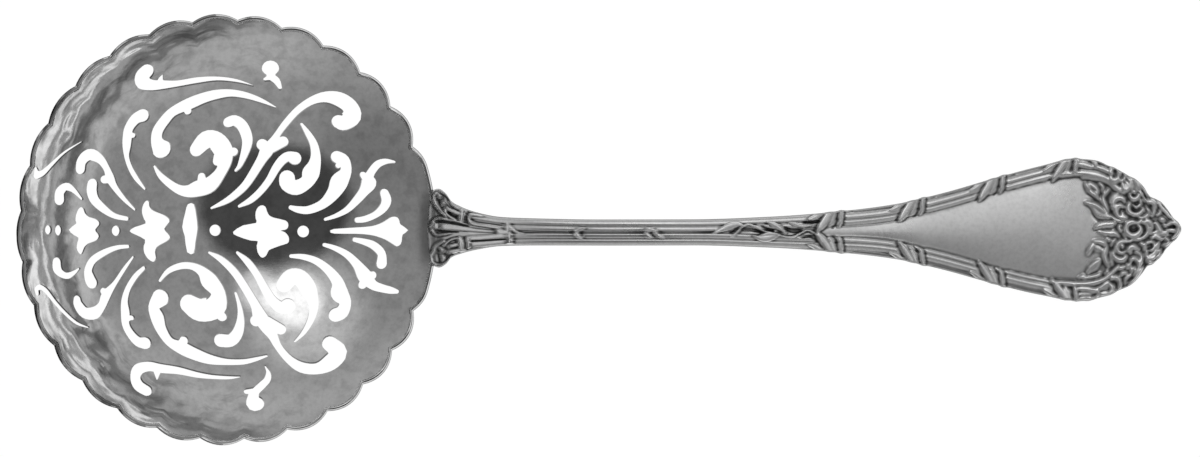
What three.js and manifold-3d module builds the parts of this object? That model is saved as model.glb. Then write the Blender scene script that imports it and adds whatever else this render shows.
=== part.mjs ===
// Pierced serving spoon: a dished, scalloped round bowl and a reeded handle bound with ribbon.
// Millimetres, +Z up, handle towards +X. The spoon lies on z = 0, on its belly and its handle's back.
import * as THREE from "three";
import { mergeVertices } from "three/addons/utils/BufferGeometryUtils.js";
import Module from "manifold-3d";

const wasm = await Module();
wasm.setup();

// Bowl sheet: part of a ball, level a little nearer the handle than the middle of the rim
const SHEET = 1.0;
const DISH_RADIUS = 63.5;
const BOWL_X = -71.0;
const DISH_LEAD = 11.7;
const DISH_X = BOWL_X + DISH_LEAD;
const DISH_Z = DISH_RADIUS + SHEET;

// Rim, seen in plan
const LOBES = 29;
const LOBE_STEPS = 4;
const NOTCH_RADIUS = 39.4;
const LOBE_RISE = 1.0;
const RIM_TILT = THREE.MathUtils.degToRad(14);
const BEAD_WIDTH = 1.1;
const BEAD_RISE = 0.35;
const RING_RADII = [6, 13, 20, 27, 34];

// Joint between handle and bowl: a heel under the rim, and the room kept for the sheet
const JOINT_GAP = 0.3;
const JOINT_ROOM = 14;
const HEEL_LENGTH = 2.6;
const HEEL_DEPTH = 1.7;
const JOINT_X = BOWL_X + NOTCH_RADIUS * Math.cos(RIM_TILT);

// Handle section: two reeds along each edge of a sunk panel
const REED_BAND = 3.2;
const REED_BAND_SHARE = 0.8;
const GROOVE = 0.45;
const PANEL_SINK = 0.6;
const SECTION_STEP = 5.0;

// Relief laid on the handle
const RELIEF_SINK = 0.7;
const RELIEF_RISE = 0.55;
const STRAP_RISE = 0.3;
const STRAP_SINK = 0.6;

// Handle profiles along X, drawn with the joint at HANDLE_FROM: half width, middle line and thickness
const HANDLE_FROM = -32.8;
const HALF_WIDTH = [
  [HANDLE_FROM - HEEL_LENGTH, 2.2], [-34.3, 4.6], [-32.6, 6.6], [-30.6, 7.5], [-29.2, 6.7], [-28.2, 5.4],
  [-26.4, 4.5], [-23.1, 3.5], [-18.5, 2.75], [-11.7, 2.56], [0, 2.47], [18, 2.47], [31.6, 2.9],
  [47.6, 4.1], [56.7, 5.3], [65.8, 7.4], [75, 10.0], [84.1, 12.3], [90.5, 13.5], [95.5, 13.0],
  [100, 11.1], [102.6, 9.2], [104.6, 6.8], [106.9, 5.3], [109.4, 2.4], [110.9, 0.9],
];
const MIDDLE_Y = [
  [-31, 0.1], [-24, -0.45], [-12, -0.65], [0, -0.76], [30, -0.7], [60, -0.57], [80, -0.45], [90, -0.2],
];
const THICKNESS = [
  [-31, 3.9], [-28, 3.9], [-24, 3.6], [-18, 3.4], [0, 3.3], [30, 3.1], [50, 3.0], [75, 2.8],
  [100, 2.8], [110.9, 1.9],
];

// Height of the handle's back: over the heel it follows the dish, then it arches down to rest flat
const HEEL_FROM = HANDLE_FROM - HEEL_LENGTH;
const HEEL_TO = -31;
const BACK_Z = [
  [HEEL_FROM, heelZ(HEEL_FROM)], [HEEL_TO, heelZ(HEEL_TO)], [-28, 6.4], [-24, 8.6], [-18, 11.2],
  [-10, 13.2], [0, 14.0], [10, 13.8], [20, 12.9], [35, 10.3], [50, 7.0], [65, 3.8], [76, 1.5], [84, 0.3],
  [88, 0], [106, 0], [110.9, 0.5],
];

// Piercings as strokes, drawn for a rim of this radius: each point is right of the rim's centre, up,
// and half the stroke's width
const PATTERN_RIM = 39.4;
const STROKES = {
  upper_rim_hook: [
    [[5.1, 27.1, 0.15], [2.0, 28.0, 0.38], [-1.6, 28.4, 0.48], [-5.3, 28.1, 0.65], [-9.1, 27.45, 0.68],
      [-12.2, 27.2, 0.95], [-14.0, 27.15, 1.1], [-15.6, 27.65, 1.4], [-15.7, 28.8, 1.4],
      [-14.8, 29.85, 1.3]],
    [[-11.7, 27.9, 0.6], [-12.0, 29.2, 0.1]],
  ],
  upper_ball: [
    [[8.2, 30.37, 1.68], [8.6, 30.37, 1.68]],
    [[7.45, 28.3, 0.42], [8.5, 28.6, 0.72], [9.5, 28.0, 0.75], [10.2, 26.65, 0.4]],
  ],
  upper_long_c: [
    [[9.3, 23.0, 0.2], [6.6, 24.25, 0.52], [3.8, 25.2, 0.7], [1.0, 25.65, 0.8], [-1.7, 25.4, 1.0],
      [-4.2, 24.75, 1.1], [-7.0, 23.6, 1.2], [-9.9, 22.2, 1.0], [-11.5, 20.6, 1.05], [-12.9, 18.5, 1.1],
      [-13.1, 16.6, 1.22], [-12.3, 15.2, 1.9]],
    [[-7.4, 23.0, 0.8], [-7.2, 22.2, 0.72]],
  ],
  upper_inner_scroll: [
    [[-13.6, 11.75, 0.25], [-12.3, 9.8, 0.6], [-9.55, 7.65, 0.83], [-7.4, 7.1, 1.15], [-5.4, 7.6, 1.55],
      [-3.1, 8.4, 1.5], [-1.0, 10.9, 1.1], [-0.4, 13.0, 1.5], [-0.7, 14.9, 1.85], [-2.0, 16.6, 1.85],
      [-3.8, 16.8, 1.77], [-5.6, 15.0, 1.4]],
    [[0.4, 14.4, 0.9], [1.3, 14.55, 0.88]],
  ],
  upper_small_hook: [
    [[0.45, 20.15, 1.08], [1.6, 20.45, 1.12], [2.95, 19.55, 1.08], [3.8, 17.6, 1.05], [3.8, 15.6, 0.93],
      [2.6, 12.2, 0.52], [1.75, 11.05, 0.3]],
  ],
  upper_stem_scroll: [
    [[-2.9, 3.9, 0.22], [0.1, 5.35, 0.6], [2.5, 7.2, 0.74], [4.15, 9.1, 0.8], [6.5, 12.9, 0.95],
      [7.5, 14.6, 1.25], [8.5, 16.0, 1.0], [9.4, 17.5, 0.64], [11.3, 20.05, 0.68], [13.6, 22.5, 0.73],
      [16.2, 24.2, 0.86], [18.8, 24.9, 1.15], [21.3, 24.5, 1.5], [23.3, 23.2, 1.6], [23.9, 21.4, 1.75],
      [22.2, 20.1, 1.6], [21.3, 20.2, 1.4]],
    [[7.5, 15.4, 1.1], [6.75, 15.95, 1.1]],
    [[8.2, 15.3, 1.15], [10.7, 16.5, 1.05]],
  ],
  upper_mid_tail: [
    [[2.35, 4.25, 0.28], [4.45, 5.35, 0.6], [6.4, 7.1, 0.66], [8.05, 9.2, 0.7], [9.3, 11.4, 0.8],
      [10.55, 13.0, 0.9], [11.7, 13.65, 1.0], [12.9, 13.35, 1.28]],
  ],
  upper_curl: [
    [[14.25, 19.8, 0.3], [15.4, 18.1, 0.6], [16.5, 16.1, 0.78], [16.9, 14.0, 0.93], [16.7, 12.3, 1.2],
      [16.0, 10.6, 1.65], [15.2, 8.9, 1.3], [13.2, 7.8, 1.45], [11.6, 8.5, 1.5], [11.45, 9.6, 1.5]],
  ],
  upper_wave: [
    [[20.95, 13.55, 1.22], [22.2, 12.8, 1.25], [22.65, 10.9, 1.1], [21.4, 8.9, 1.7], [20.3, 6.8, 1.3],
      [18.3, 4.7, 0.9], [15.6, 3.55, 0.77], [13.6, 3.6, 0.65], [12.15, 4.0, 0.42]],
  ],
  upper_thistle: [
    [[18.7, 1.75, 0.28], [20.8, 2.45, 0.42], [22.9, 3.6, 0.6], [24.7, 5.4, 0.8], [26.0, 7.0, 1.0],
      [27.0, 8.7, 1.5], [27.2, 10.2, 0.85], [28.6, 12.1, 0.72], [30.2, 12.75, 0.55], [31.9, 12.65, 0.25]],
    [[26.6, 9.2, 0.8], [25.9, 10.1, 0.7]],
  ],
  upper_petal: [
    [[29.95, 6.6, 0.95], [30.3, 5.3, 1.05], [29.7, 3.9, 0.88], [28.2, 2.6, 0.65], [26.3, 1.8, 0.6],
      [24.7, 1.6, 0.5]],
  ],
  upper_left_crescent: [
    [[-15.75, 21.4, 1.28], [-17.1, 20.7, 1.1], [-18.3, 19.0, 0.95], [-18.6, 17.4, 0.98],
      [-18.75, 15.6, 0.88], [-18.75, 13.6, 0.56], [-18.15, 11.6, 0.52], [-17.05, 9.6, 0.52],
      [-15.4, 7.5, 0.25]],
  ],
  upper_left_crook: [
    [[-27.4, 11.2, 0.95], [-27.2, 12.6, 1.0], [-26.3, 13.7, 1.1], [-25.2, 13.95, 1.1], [-23.6, 13.0, 0.85],
      [-22.5, 11.3, 0.7], [-21.9, 9.6, 0.9], [-21.0, 7.8, 0.66], [-19.3, 5.6, 0.48], [-17.3, 3.6, 0.25]],
    [[-22.3, 9.4, 0.8], [-23.0, 9.3, 0.78]],
  ],
  upper_left_bean: [
    [[-25.2, 8.45, 1.02], [-25.3, 7.0, 1.05], [-24.7, 5.3, 0.95], [-22.95, 3.6, 0.78], [-21.0, 2.35, 0.52],
      [-18.7, 1.85, 0.38]],
  ],
  upper_far_hook: [
    [[-31.3, 5.4, 1.0], [-31.2, 6.9, 0.95], [-30.1, 7.9, 0.78], [-28.8, 7.35, 0.55], [-27.2, 5.6, 0.25]],
  ],
  upper_edge_sliver: [
    [[-35.6, 11.3, 0.35], [-35.5, 10.0, 0.7], [-34.2, 10.6, 0.6], [-32.5, 12.3, 0.42], [-30.3, 14.4, 0.3],
      [-27.2, 16.4, 0.18]],
  ],
  lower_rim_hook: [
    [[2.6, -28.1, 0.2], [0.5, -28.25, 0.42], [-2.6, -28.1, 0.5], [-5.5, -27.7, 0.65], [-9.0, -26.9, 0.8],
      [-12.3, -26.5, 0.95], [-14.6, -26.1, 1.0], [-16.5, -26.7, 1.1], [-17.0, -28.2, 1.02],
      [-16.4, -29.7, 1.1], [-14.9, -30.7, 1.05]],
    [[-13.0, -27.2, 0.7], [-13.0, -28.5, 0.2]],
  ],
  lower_ball: [
    [[7.4, -26.1, 0.18], [8.0, -27.3, 0.42], [7.8, -28.6, 0.7], [6.8, -29.7, 0.8], [5.4, -31.2, 0.9],
      [5.3, -33.0, 1.5], [5.9, -33.2, 1.4]],
    [[5.4, -30.8, 0.7], [4.2, -30.8, 0.55]],
  ],
  lower_long_c: [
    [[-12.5, -13.2, 1.7], [-13.65, -14.9, 1.15], [-13.0, -16.9, 1.35], [-12.25, -19.1, 1.1],
      [-10.7, -21.4, 0.95], [-8.4, -22.6, 1.3], [-6.1, -23.7, 1.25], [-3.2, -24.75, 1.05],
      [0, -25.25, 0.72], [3.2, -25.25, 0.63], [5.6, -24.75, 0.5], [7.6, -24.15, 0.3]],
    [[-8.3, -22.0, 0.9], [-8.0, -21.2, 0.85]],
  ],
  lower_inner_scroll: [
    [[-12.6, -9.9, 0.28], [-11.0, -8.05, 0.5], [-8.6, -7.1, 0.63], [-6.4, -7.2, 0.72], [-4.6, -8.2, 1.05],
      [-3.3, -9.9, 1.65], [-1.6, -12.2, 1.42], [-2.2, -14.8, 2.2], [-4.9, -15.45, 2.25],
      [-7.0, -14.3, 1.85]],
    [[-1.6, -16.0, 1.0], [-0.85, -16.7, 0.95]],
  ],
  lower_small_hook: [
    [[1.75, -12.3, 0.3], [2.35, -14.3, 0.42], [2.65, -16.1, 0.58], [2.6, -18.0, 0.82], [2.0, -20.0, 1.08],
      [0.8, -21.2, 1.3], [-1.0, -21.2, 1.35]],
  ],
  lower_stem_scroll: [
    [[-3.3, -4.6, 0.25], [-1.3, -5.7, 0.6], [0.75, -7.5, 0.75], [2.5, -9.7, 0.8], [5.25, -14.2, 0.9],
      [6.3, -16.6, 1.35], [7.6, -18.6, 1.3], [8.8, -20.4, 0.95], [9.85, -22.4, 0.75],
      [11.85, -24.75, 0.85], [14.3, -26.3, 1.12], [17.2, -26.55, 1.2], [19.7, -25.4, 1.65],
      [21.3, -23.5, 1.65], [19.6, -21.8, 1.5]],
    [[6.4, -17.2, 1.2], [5.6, -17.5, 1.15]],
    [[7.5, -17.8, 1.3], [10.3, -19.15, 1.05]],
  ],
  lower_mid_tail: [
    [[2.0, -4.6, 0.28], [3.9, -6.3, 0.66], [5.75, -8.8, 0.72], [7.2, -11.4, 0.84], [8.6, -13.6, 0.95],
      [10.1, -14.9, 1.2], [11.6, -14.75, 1.5]],
  ],
  lower_curl: [
    [[13.0, -21.4, 0.25], [14.65, -19.7, 0.5], [15.95, -17.4, 0.68], [16.5, -15.2, 0.9],
      [16.2, -13.2, 1.2], [15.4, -11.3, 1.6], [13.9, -9.4, 1.6], [12.2, -9.3, 1.65], [10.9, -10.7, 1.5]],
  ],
  lower_wave: [
    [[12.2, -5.25, 0.35], [14.5, -5.4, 0.55], [17.0, -6.2, 0.68], [19.3, -7.9, 0.85], [21.0, -10.1, 1.15],
      [21.4, -12.2, 1.7], [22.5, -14.0, 1.2], [21.9, -15.8, 1.35], [20.7, -16.4, 1.38]],
  ],
  lower_thistle: [
    [[18.5, -3.1, 0.35], [20.6, -3.75, 0.5], [22.9, -5.0, 0.68], [24.7, -6.8, 0.9], [26.2, -9.0, 1.4],
      [27.8, -10.7, 0.95], [29.3, -11.3, 0.8], [31.2, -11.75, 0.68], [32.4, -12.0, 0.4]],
    [[26.9, -9.2, 0.8], [27.7, -8.9, 0.8]],
    [[26.2, -9.9, 0.9], [25.8, -10.6, 0.9]],
  ],
  lower_petal: [
    [[24.2, -2.1, 0.4], [26.2, -2.55, 0.6], [27.95, -3.25, 0.78], [29.35, -4.7, 0.88], [29.4, -6.6, 1.1]],
  ],
  lower_left_crescent: [
    [[-15.6, -7.5, 0.4], [-17.1, -9.0, 0.55], [-18.5, -11.3, 0.6], [-19.15, -13.7, 0.72],
      [-19.0, -16.0, 0.93], [-18.9, -18.2, 0.8], [-17.95, -20.0, 0.85], [-16.6, -21.4, 1.0],
      [-15.3, -21.7, 1.2]],
  ],
  lower_left_crook: [
    [[-17.6, -5.4, 0.25], [-19.2, -7.6, 0.42], [-21.0, -10.4, 0.5], [-22.6, -12.6, 0.95],
      [-23.4, -14.6, 0.85], [-24.8, -16.0, 1.2], [-26.6, -15.9, 1.1], [-27.8, -14.4, 0.92],
      [-28.0, -13.4, 0.75]],
    [[-22.7, -12.3, 0.8], [-23.1, -11.9, 0.7]],
  ],
  lower_left_bean: [
    [[-18.5, -3.4, 0.32], [-20.6, -3.6, 0.42], [-22.9, -4.5, 0.62], [-25.05, -5.95, 0.75],
      [-25.95, -7.8, 0.82], [-25.7, -9.4, 1.05], [-25.3, -10.3, 1.1]],
  ],
  lower_far_hook: [
    [[-31.8, -6.3, 0.85], [-31.7, -7.6, 0.9], [-31.0, -8.5, 0.75], [-29.8, -8.95, 0.6], [-28.5, -8.3, 0.4],
      [-27.7, -7.6, 0.2]],
  ],
  lower_edge_hook: [
    [[-35.3, -12.3, 0.42], [-35.45, -11.4, 0.5], [-34.7, -10.8, 0.5], [-33.7, -11.8, 0.5],
      [-32.0, -14.0, 0.42], [-30.0, -16.2, 0.4], [-28.0, -17.9, 0.35], [-25.9, -18.7, 0.18]],
  ],
};

// Piercings on the middle line as closed outlines, from the rim's centre
const OUTLINES = {
  far_left_fleur: [
    [-30.0, -0.25], [-28.1, 1.03], [-28.5, 1.4], [-28.4, 2.5], [-27.9, 3.8], [-27.3, 4.14], [-26.7, 3.8],
    [-26.5, 2.86], [-25.7, 2.1], [-24.6, 1.85], [-23.9, 1.4], [-23.7, 0.76], [-24.7, -0.28], [-24.1, -0.9],
    [-23.8, -1.44], [-24.2, -2.17], [-25.0, -2.5], [-25.9, -2.8], [-26.6, -3.5], [-26.9, -4.45],
    [-27.3, -5.1], [-27.9, -4.6], [-28.3, -3.7], [-28.1, -2.6], [-27.8, -1.7], [-28.65, -1.34],
  ],
  left_fleur: [
    [-18.6, -0.52], [-17.5, 0.3], [-15.1, 0.94], [-15.7, 1.76], [-16.1, 3.04], [-16.0, 4.1], [-15.5, 5.14],
    [-14.95, 5.4], [-14.4, 4.96], [-14.5, 4.3], [-14.0, 3.5], [-13.1, 3.04], [-11.85, 2.6], [-10.8, 1.94],
    [-10.5, 1.3], [-11.85, -0.1], [-10.9, -0.98], [-10.4, -1.7], [-11.1, -2.35], [-12.2, -2.9],
    [-13.1, -3.5], [-13.4, -4.45], [-13.1, -5.55], [-13.5, -6.2], [-14.0, -6.4], [-14.95, -5.8],
    [-15.7, -4.6], [-15.8, -3.35], [-15.2, -2.1], [-17.5, -1.07],
  ],
  cross_bar: [
    [-7.5, 4.83], [-6.0, 4.83], [-5.6, 2.27], [-5.4, 0.45], [-5.4, -0.28], [-5.8, -2.5], [-6.0, -4.9],
    [-7.66, -4.9], [-7.97, -1.2], [-8.6, 0.17], [-7.9, 3.0],
  ],
  central_fleur: [
    [0.83, -0.74], [3.03, 0.72], [5.86, 1.0], [5.4, 1.9], [5.4, 3.2], [5.95, 4.2], [6.8, 4.5], [7.4, 4.1],
    [7.6, 3.2], [8.1, 2.36], [9.05, 2.0], [11.3, 1.54], [11.7, 0.9], [11.6, 0.08], [11.06, -0.28],
    [9.97, -0.37], [11.06, -0.65], [11.8, -1.56], [11.8, -2.57], [11.4, -2.9], [10.3, -3.2],
    [9.05, -3.66], [7.87, -4.1], [7.6, -5.0], [7.0, -5.58], [6.4, -5.5], [5.77, -4.5], [5.6, -3.2],
    [6.0, -2.3], [4.67, -2.4], [1.75, -1.4],
  ],
  right_bud: [
    [19.74, -0.07], [26.8, 0.3], [28.2, 0.57], [29.7, 1.2], [30.98, 2.1], [31.9, 2.3], [32.6, 2.1],
    [32.95, 1.4], [32.9, 0.85], [34.9, -0.34], [33.35, -1.16], [33.4, -2.1], [33.2, -3.0], [32.4, -3.5],
    [31.7, -3.1], [30.2, -2.1], [28.6, -1.5], [27.1, -1.16], [24.9, -0.98], [20.0, -1.0], [19.56, -0.6],
  ],
};

// Round piercings on the middle line: centre and the two half sizes
const DOTS = [
  [-33.42, -0.25, 0.62, 0.9],
  [-31.56, -0.34, 0.66, 1.0],
  [-20.85, -0.43, 0.84, 1.0],
  [-2.22, -0.34, 1.08, 1.08],
  [14.5, -0.57, 1.11, 1.11],
];
const DOT_SIDES = 10;
const CAP_STEPS = 3;
const FINE_TIP = 0.5;

// Ribbon turns round each reeded edge: X where the turn starts
const RIBBON_TURNS = [41.6, 57.0, 72.4, 86.2];
const RIBBON_SLANT = 2.6;
const RIBBON_HALF_WIDTH = 0.75;
const RIBBON_KNOT_X = 4.2;
const RIBBON_KNOT_HALF_WIDTH = 0.5;

// Collars that tie the reeds of the stem together
const COLLARS = [[-26.2, 0.6], [-24.9, 0.4], [-17.2, 0.5]];

// Cast ornament on the handle's end, its lower half mirrored: X, Y and half width
const SCROLLS = [
  [[104.2, 1.9, 0.3], [105.2, 0.9, 0.5], [105.2, -0.3, 0.5]],
  [[104.6, 3.6, 0.3], [104.8, 2.7, 0.4], [103.6, 2.2, 0.4], [101.9, 2.7, 0.6], [100.8, 3.7, 0.6],
    [101.2, 4.9, 0.5], [102.5, 5.1, 0.4]],
  [[100.2, 5.2, 0.35], [99.2, 5.8, 0.5], [98.2, 5.0, 0.5], [98.0, 3.7, 0.5], [98.6, 2.5, 0.5]],
  [[97.4, 8.6, 0.5], [97.2, 10.2, 0.6], [98.3, 11.2, 0.5], [99.4, 10.4, 0.5], [98.9, 9.1, 0.5]],
  [[99.8, 7.6, 0.5], [100.8, 8.8, 0.6], [102.0, 8.2, 0.6], [102.1, 6.9, 0.5]],
  [[103.2, 6.9, 0.5], [105.0, 5.5, 0.6], [106.2, 4.5, 0.6], [106.3, 3.2, 0.5], [105.6, 2.2, 0.4]],
  [[106.6, 1.2, 0.5], [107.8, 0.9, 0.5]],
];
const LEAVES = [
  [[92.6, 4.9, 0.2], [94.2, 4.0, 0.8], [96.0, 2.9, 1.0], [97.2, 2.3, 0.6]],
  [[92.7, 8.3, 0.2], [94.0, 6.7, 0.8], [95.6, 5.0, 0.9], [96.6, 4.0, 0.5]],
  [[94.7, 9.6, 0.3], [96.0, 7.7, 0.8], [97.2, 6.2, 0.6]],
];
const RINGS = [
  [101.9, -0.3, 1.45, 0.55],
  [109.0, -0.2, 0.95, 0.45],
];
const RING_STEPS = 10;
const RELIEF_SIDES = 5;

// Lily bud and its stalks laid over the reeds where the stem widens
const LILY = [
  [[26.5, -1.9, 0.3], [31.0, -2.1, 0.5], [35.0, -0.4, 0.9], [38.5, -0.9, 0.6], [40.5, -2.4, 0.3]],
  [[28.5, 0.6, 0.3], [33.0, -0.7, 0.5], [36.6, 0.9, 0.7], [39.6, 1.7, 0.3]],
];

// Height of the heel's back under the dish, at an X of the handle's drawing
function heelZ(x) {
  const reach = x - HANDLE_FROM + JOINT_X - DISH_X;
  return DISH_Z - Math.sqrt((DISH_RADIUS + SHEET) ** 2 - reach ** 2) - HEEL_DEPTH;
}

// Height of a table of [x, value] pairs at x, along straight runs
function along(table, x) {
  const last = table.length - 1;
  if (x <= table[0][0]) return table[0][1];
  if (x >= table[last][0]) return table[last][1];
  const i = table.findIndex(([at]) => at > x);
  const [x0, v0] = table[i - 1];
  const [x1, v1] = table[i];
  return v0 + ((v1 - v0) * (x - x0)) / (x1 - x0);
}

// A closed three.js geometry as a solid that can be joined and cut
function solid(geometry) {
  const bare = new THREE.BufferGeometry();
  bare.setAttribute("position", geometry.getAttribute("position"));
  bare.setIndex(geometry.index);
  const merged = mergeVertices(bare, 1e-5);
  return new wasm.Manifold(
    new wasm.Mesh({
      numProp: 3,
      vertProperties: merged.attributes.position.array,
      triVerts: new Uint32Array(merged.index.array),
    }),
  );
}

// The three.js geometry of a solid, each vertex moved by place when it is given
function geometryOf(body, place) {
  const mesh = body.getMesh();
  const points = [];
  const point = new THREE.Vector3();
  for (let i = 0; i < mesh.numVert; i += 1) {
    point.fromArray(mesh.vertProperties, i * mesh.numProp);
    if (place) place(point);
    points.push(point.x, point.y, point.z);
  }
  const geometry = new THREE.BufferGeometry();
  geometry.setAttribute("position", new THREE.Float32BufferAttribute(points, 3));
  geometry.setIndex(new THREE.BufferAttribute(new Uint32Array(mesh.triVerts), 1));
  geometry.computeVertexNormals();
  return geometry;
}

// Rim radius at an angle round the bowl: rounded lobes that meet in sharp notches
function rimRadius(angle) {
  const turn = (((angle / (2 * Math.PI)) * LOBES) % 1 + 1) % 1;
  const across = 2 * turn - 1;
  return NOTCH_RADIUS + LOBE_RISE * (1 - across * across);
}

// Plan point at a radius and an angle of the tilted rim
function planPoint(radius, angle) {
  return new THREE.Vector2(
    BOWL_X + radius * Math.cos(angle) * Math.cos(RIM_TILT),
    radius * Math.sin(angle),
  );
}

// The inner face of the dish above a plan point
function dishPoint(x, y) {
  const reach = Math.hypot(x - DISH_X, y);
  return new THREE.Vector3(x, y, DISH_Z - Math.sqrt(DISH_RADIUS ** 2 - reach ** 2));
}

// A point of the dish carried along the dish's own radius to another radius
function toRadius(point, radius) {
  point.set(point.x - DISH_X, point.y, point.z - DISH_Z);
  point.multiplyScalar(radius / DISH_RADIUS);
  point.set(point.x + DISH_X, point.y, point.z + DISH_Z);
  return point;
}

// Rings of plan points from the middle of the bowl out to its rim
function bowlRings(grow) {
  const rings = RING_RADII.map((radius, i) => {
    const count = i < 2 ? LOBES : 2 * LOBES;
    return Array.from({ length: count }, (_, k) => planPoint(radius, (2 * Math.PI * k) / count));
  });
  const count = LOBES * LOBE_STEPS;
  for (const inset of [BEAD_WIDTH, 0]) {
    rings.push(
      Array.from({ length: count }, (_, k) => {
        const angle = (2 * Math.PI * k) / count;
        return planPoint(rimRadius(angle) - inset + grow, angle);
      }),
    );
  }
  return rings;
}

// Triangles between two rings whose counts may differ
function ringFaces(inner, outer) {
  const faces = [];
  let i = 0;
  let o = 0;
  while (i < inner.length || o < outer.length) {
    const stepOuter = (o + 1) / outer.length <= (i + 1) / inner.length;
    const a = inner[i % inner.length];
    const b = outer[o % outer.length];
    if (stepOuter) {
      faces.push([a, b, outer[(o + 1) % outer.length]]);
      o += 1;
    } else {
      faces.push([a, b, inner[(i + 1) % inner.length]]);
      i += 1;
    }
  }
  return faces;
}

// A solid over the bowl's plan, between the heights that upper and lower give a plan point
function overBowl(grow, upper, lower) {
  const rings = bowlRings(grow);
  const plan = [planPoint(0, 0)];
  const numbered = rings.map((ring) => ring.map((point) => plan.push(point) - 1));
  const faces = ringFaces([0], numbered[0]).filter(([a, b, c]) => a !== b && b !== c && a !== c);
  numbered.slice(1).forEach((ring, i) => faces.push(...ringFaces(numbered[i], ring)));
  const count = plan.length;
  const rim = numbered[numbered.length - 1];
  const index = [];
  faces.forEach(([a, b, c]) => index.push(a, b, c, count + a, count + c, count + b));
  rim.forEach((a, k) => {
    const b = rim[(k + 1) % rim.length];
    index.push(a, count + a, b, b, count + a, count + b);
  });
  const points = [
    ...plan.flatMap((p, i) => upper(p, rim.includes(i)).toArray()),
    ...plan.flatMap((p) => lower(p).toArray()),
  ];
  const geometry = new THREE.BufferGeometry();
  geometry.setAttribute("position", new THREE.Float32BufferAttribute(points, 3));
  geometry.setIndex(index);
  return solid(geometry);
}

// Outline of a stroke: both sides of its spine and a rounded cap at each end
function strokeOutline(spine) {
  const sides = [[], []];
  const last = spine.length - 1;
  const spinePoint = ([x, y]) => new THREE.Vector2(x, y);
  spine.forEach(([x, y, half], i) => {
    const before = spinePoint(spine[Math.max(i - 1, 0)]);
    const after = spinePoint(spine[Math.min(i + 1, last)]);
    const run = after.sub(before).normalize();
    sides[0].push([x - run.y * half, y + run.x * half]);
    sides[1].push([x + run.y * half, y - run.x * half]);
    if (i !== 0 && i !== last) return;
    const out = i === 0 ? -1 : 1;
    const steps = half < FINE_TIP ? 1 : CAP_STEPS;
    const cap = [];
    for (let k = 1; k <= steps; k += 1) {
      const turn = (Math.PI * k) / (steps + 1);
      const side = half * Math.cos(turn);
      const ahead = half * Math.sin(turn) * out;
      cap.push([x - run.y * side + run.x * ahead, y + run.x * side + run.y * ahead]);
    }
    if (i === 0) sides[0].unshift(...cap.reverse());
    else sides[0].push(...cap);
  });
  return [...sides[0], ...sides[1].reverse()];
}

// Upright cutter of an outline that is measured from the rim's centre, fitted to the rim
function piercing(outline) {
  const fit = NOTCH_RADIUS / PATTERN_RIM;
  const shape = new THREE.Shape(
    outline.map(([x, y]) => new THREE.Vector2(BOWL_X + fit * x, fit * y)),
  );
  const geometry = new THREE.ExtrudeGeometry(shape, { depth: 2 * DISH_RADIUS, bevelEnabled: false });
  return solid(geometry.translate(0, 0, -DISH_RADIUS / 2));
}

// The pierced bowl: cut upright while it is thick, then drawn to its sheet along the dish's radius
function makeBowl() {
  const blankDepth = 4;
  const below = (p) => dishPoint(p.x, p.y).add(new THREE.Vector3(0, 0, -blankDepth));
  let blank = overBowl(0, (p) => dishPoint(p.x, p.y), below);
  const dots = DOTS.map(([x, y, halfX, halfY]) =>
    Array.from({ length: DOT_SIDES }, (_, k) => {
      const turn = (2 * Math.PI * k) / DOT_SIDES;
      return [x + halfX * Math.cos(turn), y + halfY * Math.sin(turn)];
    }),
  );
  const strokes = Object.values(STROKES).flat().map(strokeOutline);
  for (const outline of [...strokes, ...Object.values(OUTLINES), ...dots]) {
    blank = blank.subtract(piercing(outline));
  }
  return geometryOf(blank, (point) => {
    const surface = dishPoint(point.x, point.y);
    const outside = point.z < surface.z - blankDepth / 2;
    const radial = Math.hypot((point.x - BOWL_X) / Math.cos(RIM_TILT), point.y);
    const atRim = radial > NOTCH_RADIUS - BEAD_WIDTH / 2;
    const raised = atRim ? DISH_RADIUS - BEAD_RISE : DISH_RADIUS;
    point.copy(toRadius(surface, outside ? DISH_RADIUS + SHEET : raised));
  });
}

// The handle's section at x, round from the back: offset from the middle line and height
function section(x) {
  const half = along(HALF_WIDTH, x);
  const thick = along(THICKNESS, x);
  const band = Math.min(REED_BAND, half * REED_BAND_SHARE);
  const groove = GROOVE * Math.min(1, band / REED_BAND + 0.3);
  const side = [
    [0.55 * half, 0],
    [0.88 * half, 0.22 * thick],
    [half, 0.5 * thick],
    [half - 0.1 * band, 0.82 * thick],
    [half - 0.28 * band, thick],
    [half - 0.5 * band, thick - groove],
    [half - 0.72 * band, thick - 0.15 * groove],
    [half - band, thick - PANEL_SINK],
  ];
  const middle = [0, thick - PANEL_SINK * 0.8];
  const far = side.map(([y, z]) => [-y, z]).reverse();
  return [...side, middle, ...far];
}

// Height of the handle's face at a plan point
function faceZ(x, y) {
  const points = section(x).slice(2, -2);
  const offset = y - along(MIDDLE_Y, x);
  const rising = points.map(([at, z]) => [at, z]).sort((a, b) => a[0] - b[0]);
  return along(BACK_Z, x) + along(rising, offset);
}

// A solid skinned over rings of points that all have the same count
function skin(rings) {
  const count = rings[0].length;
  const index = [];
  rings.slice(1).forEach((_, i) => {
    for (let k = 0; k < count; k += 1) {
      const a = i * count + k;
      const b = i * count + ((k + 1) % count);
      index.push(a, b, a + count, b, b + count, a + count);
    }
  });
  for (let k = 1; k < count - 1; k += 1) {
    const end = (rings.length - 1) * count;
    index.push(0, k + 1, k, end, end + k, end + k + 1);
  }
  const geometry = new THREE.BufferGeometry();
  const points = rings.flat().flatMap((p) => p.toArray());
  geometry.setAttribute("position", new THREE.Float32BufferAttribute(points, 3));
  geometry.setIndex(index);
  return solid(geometry);
}

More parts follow.
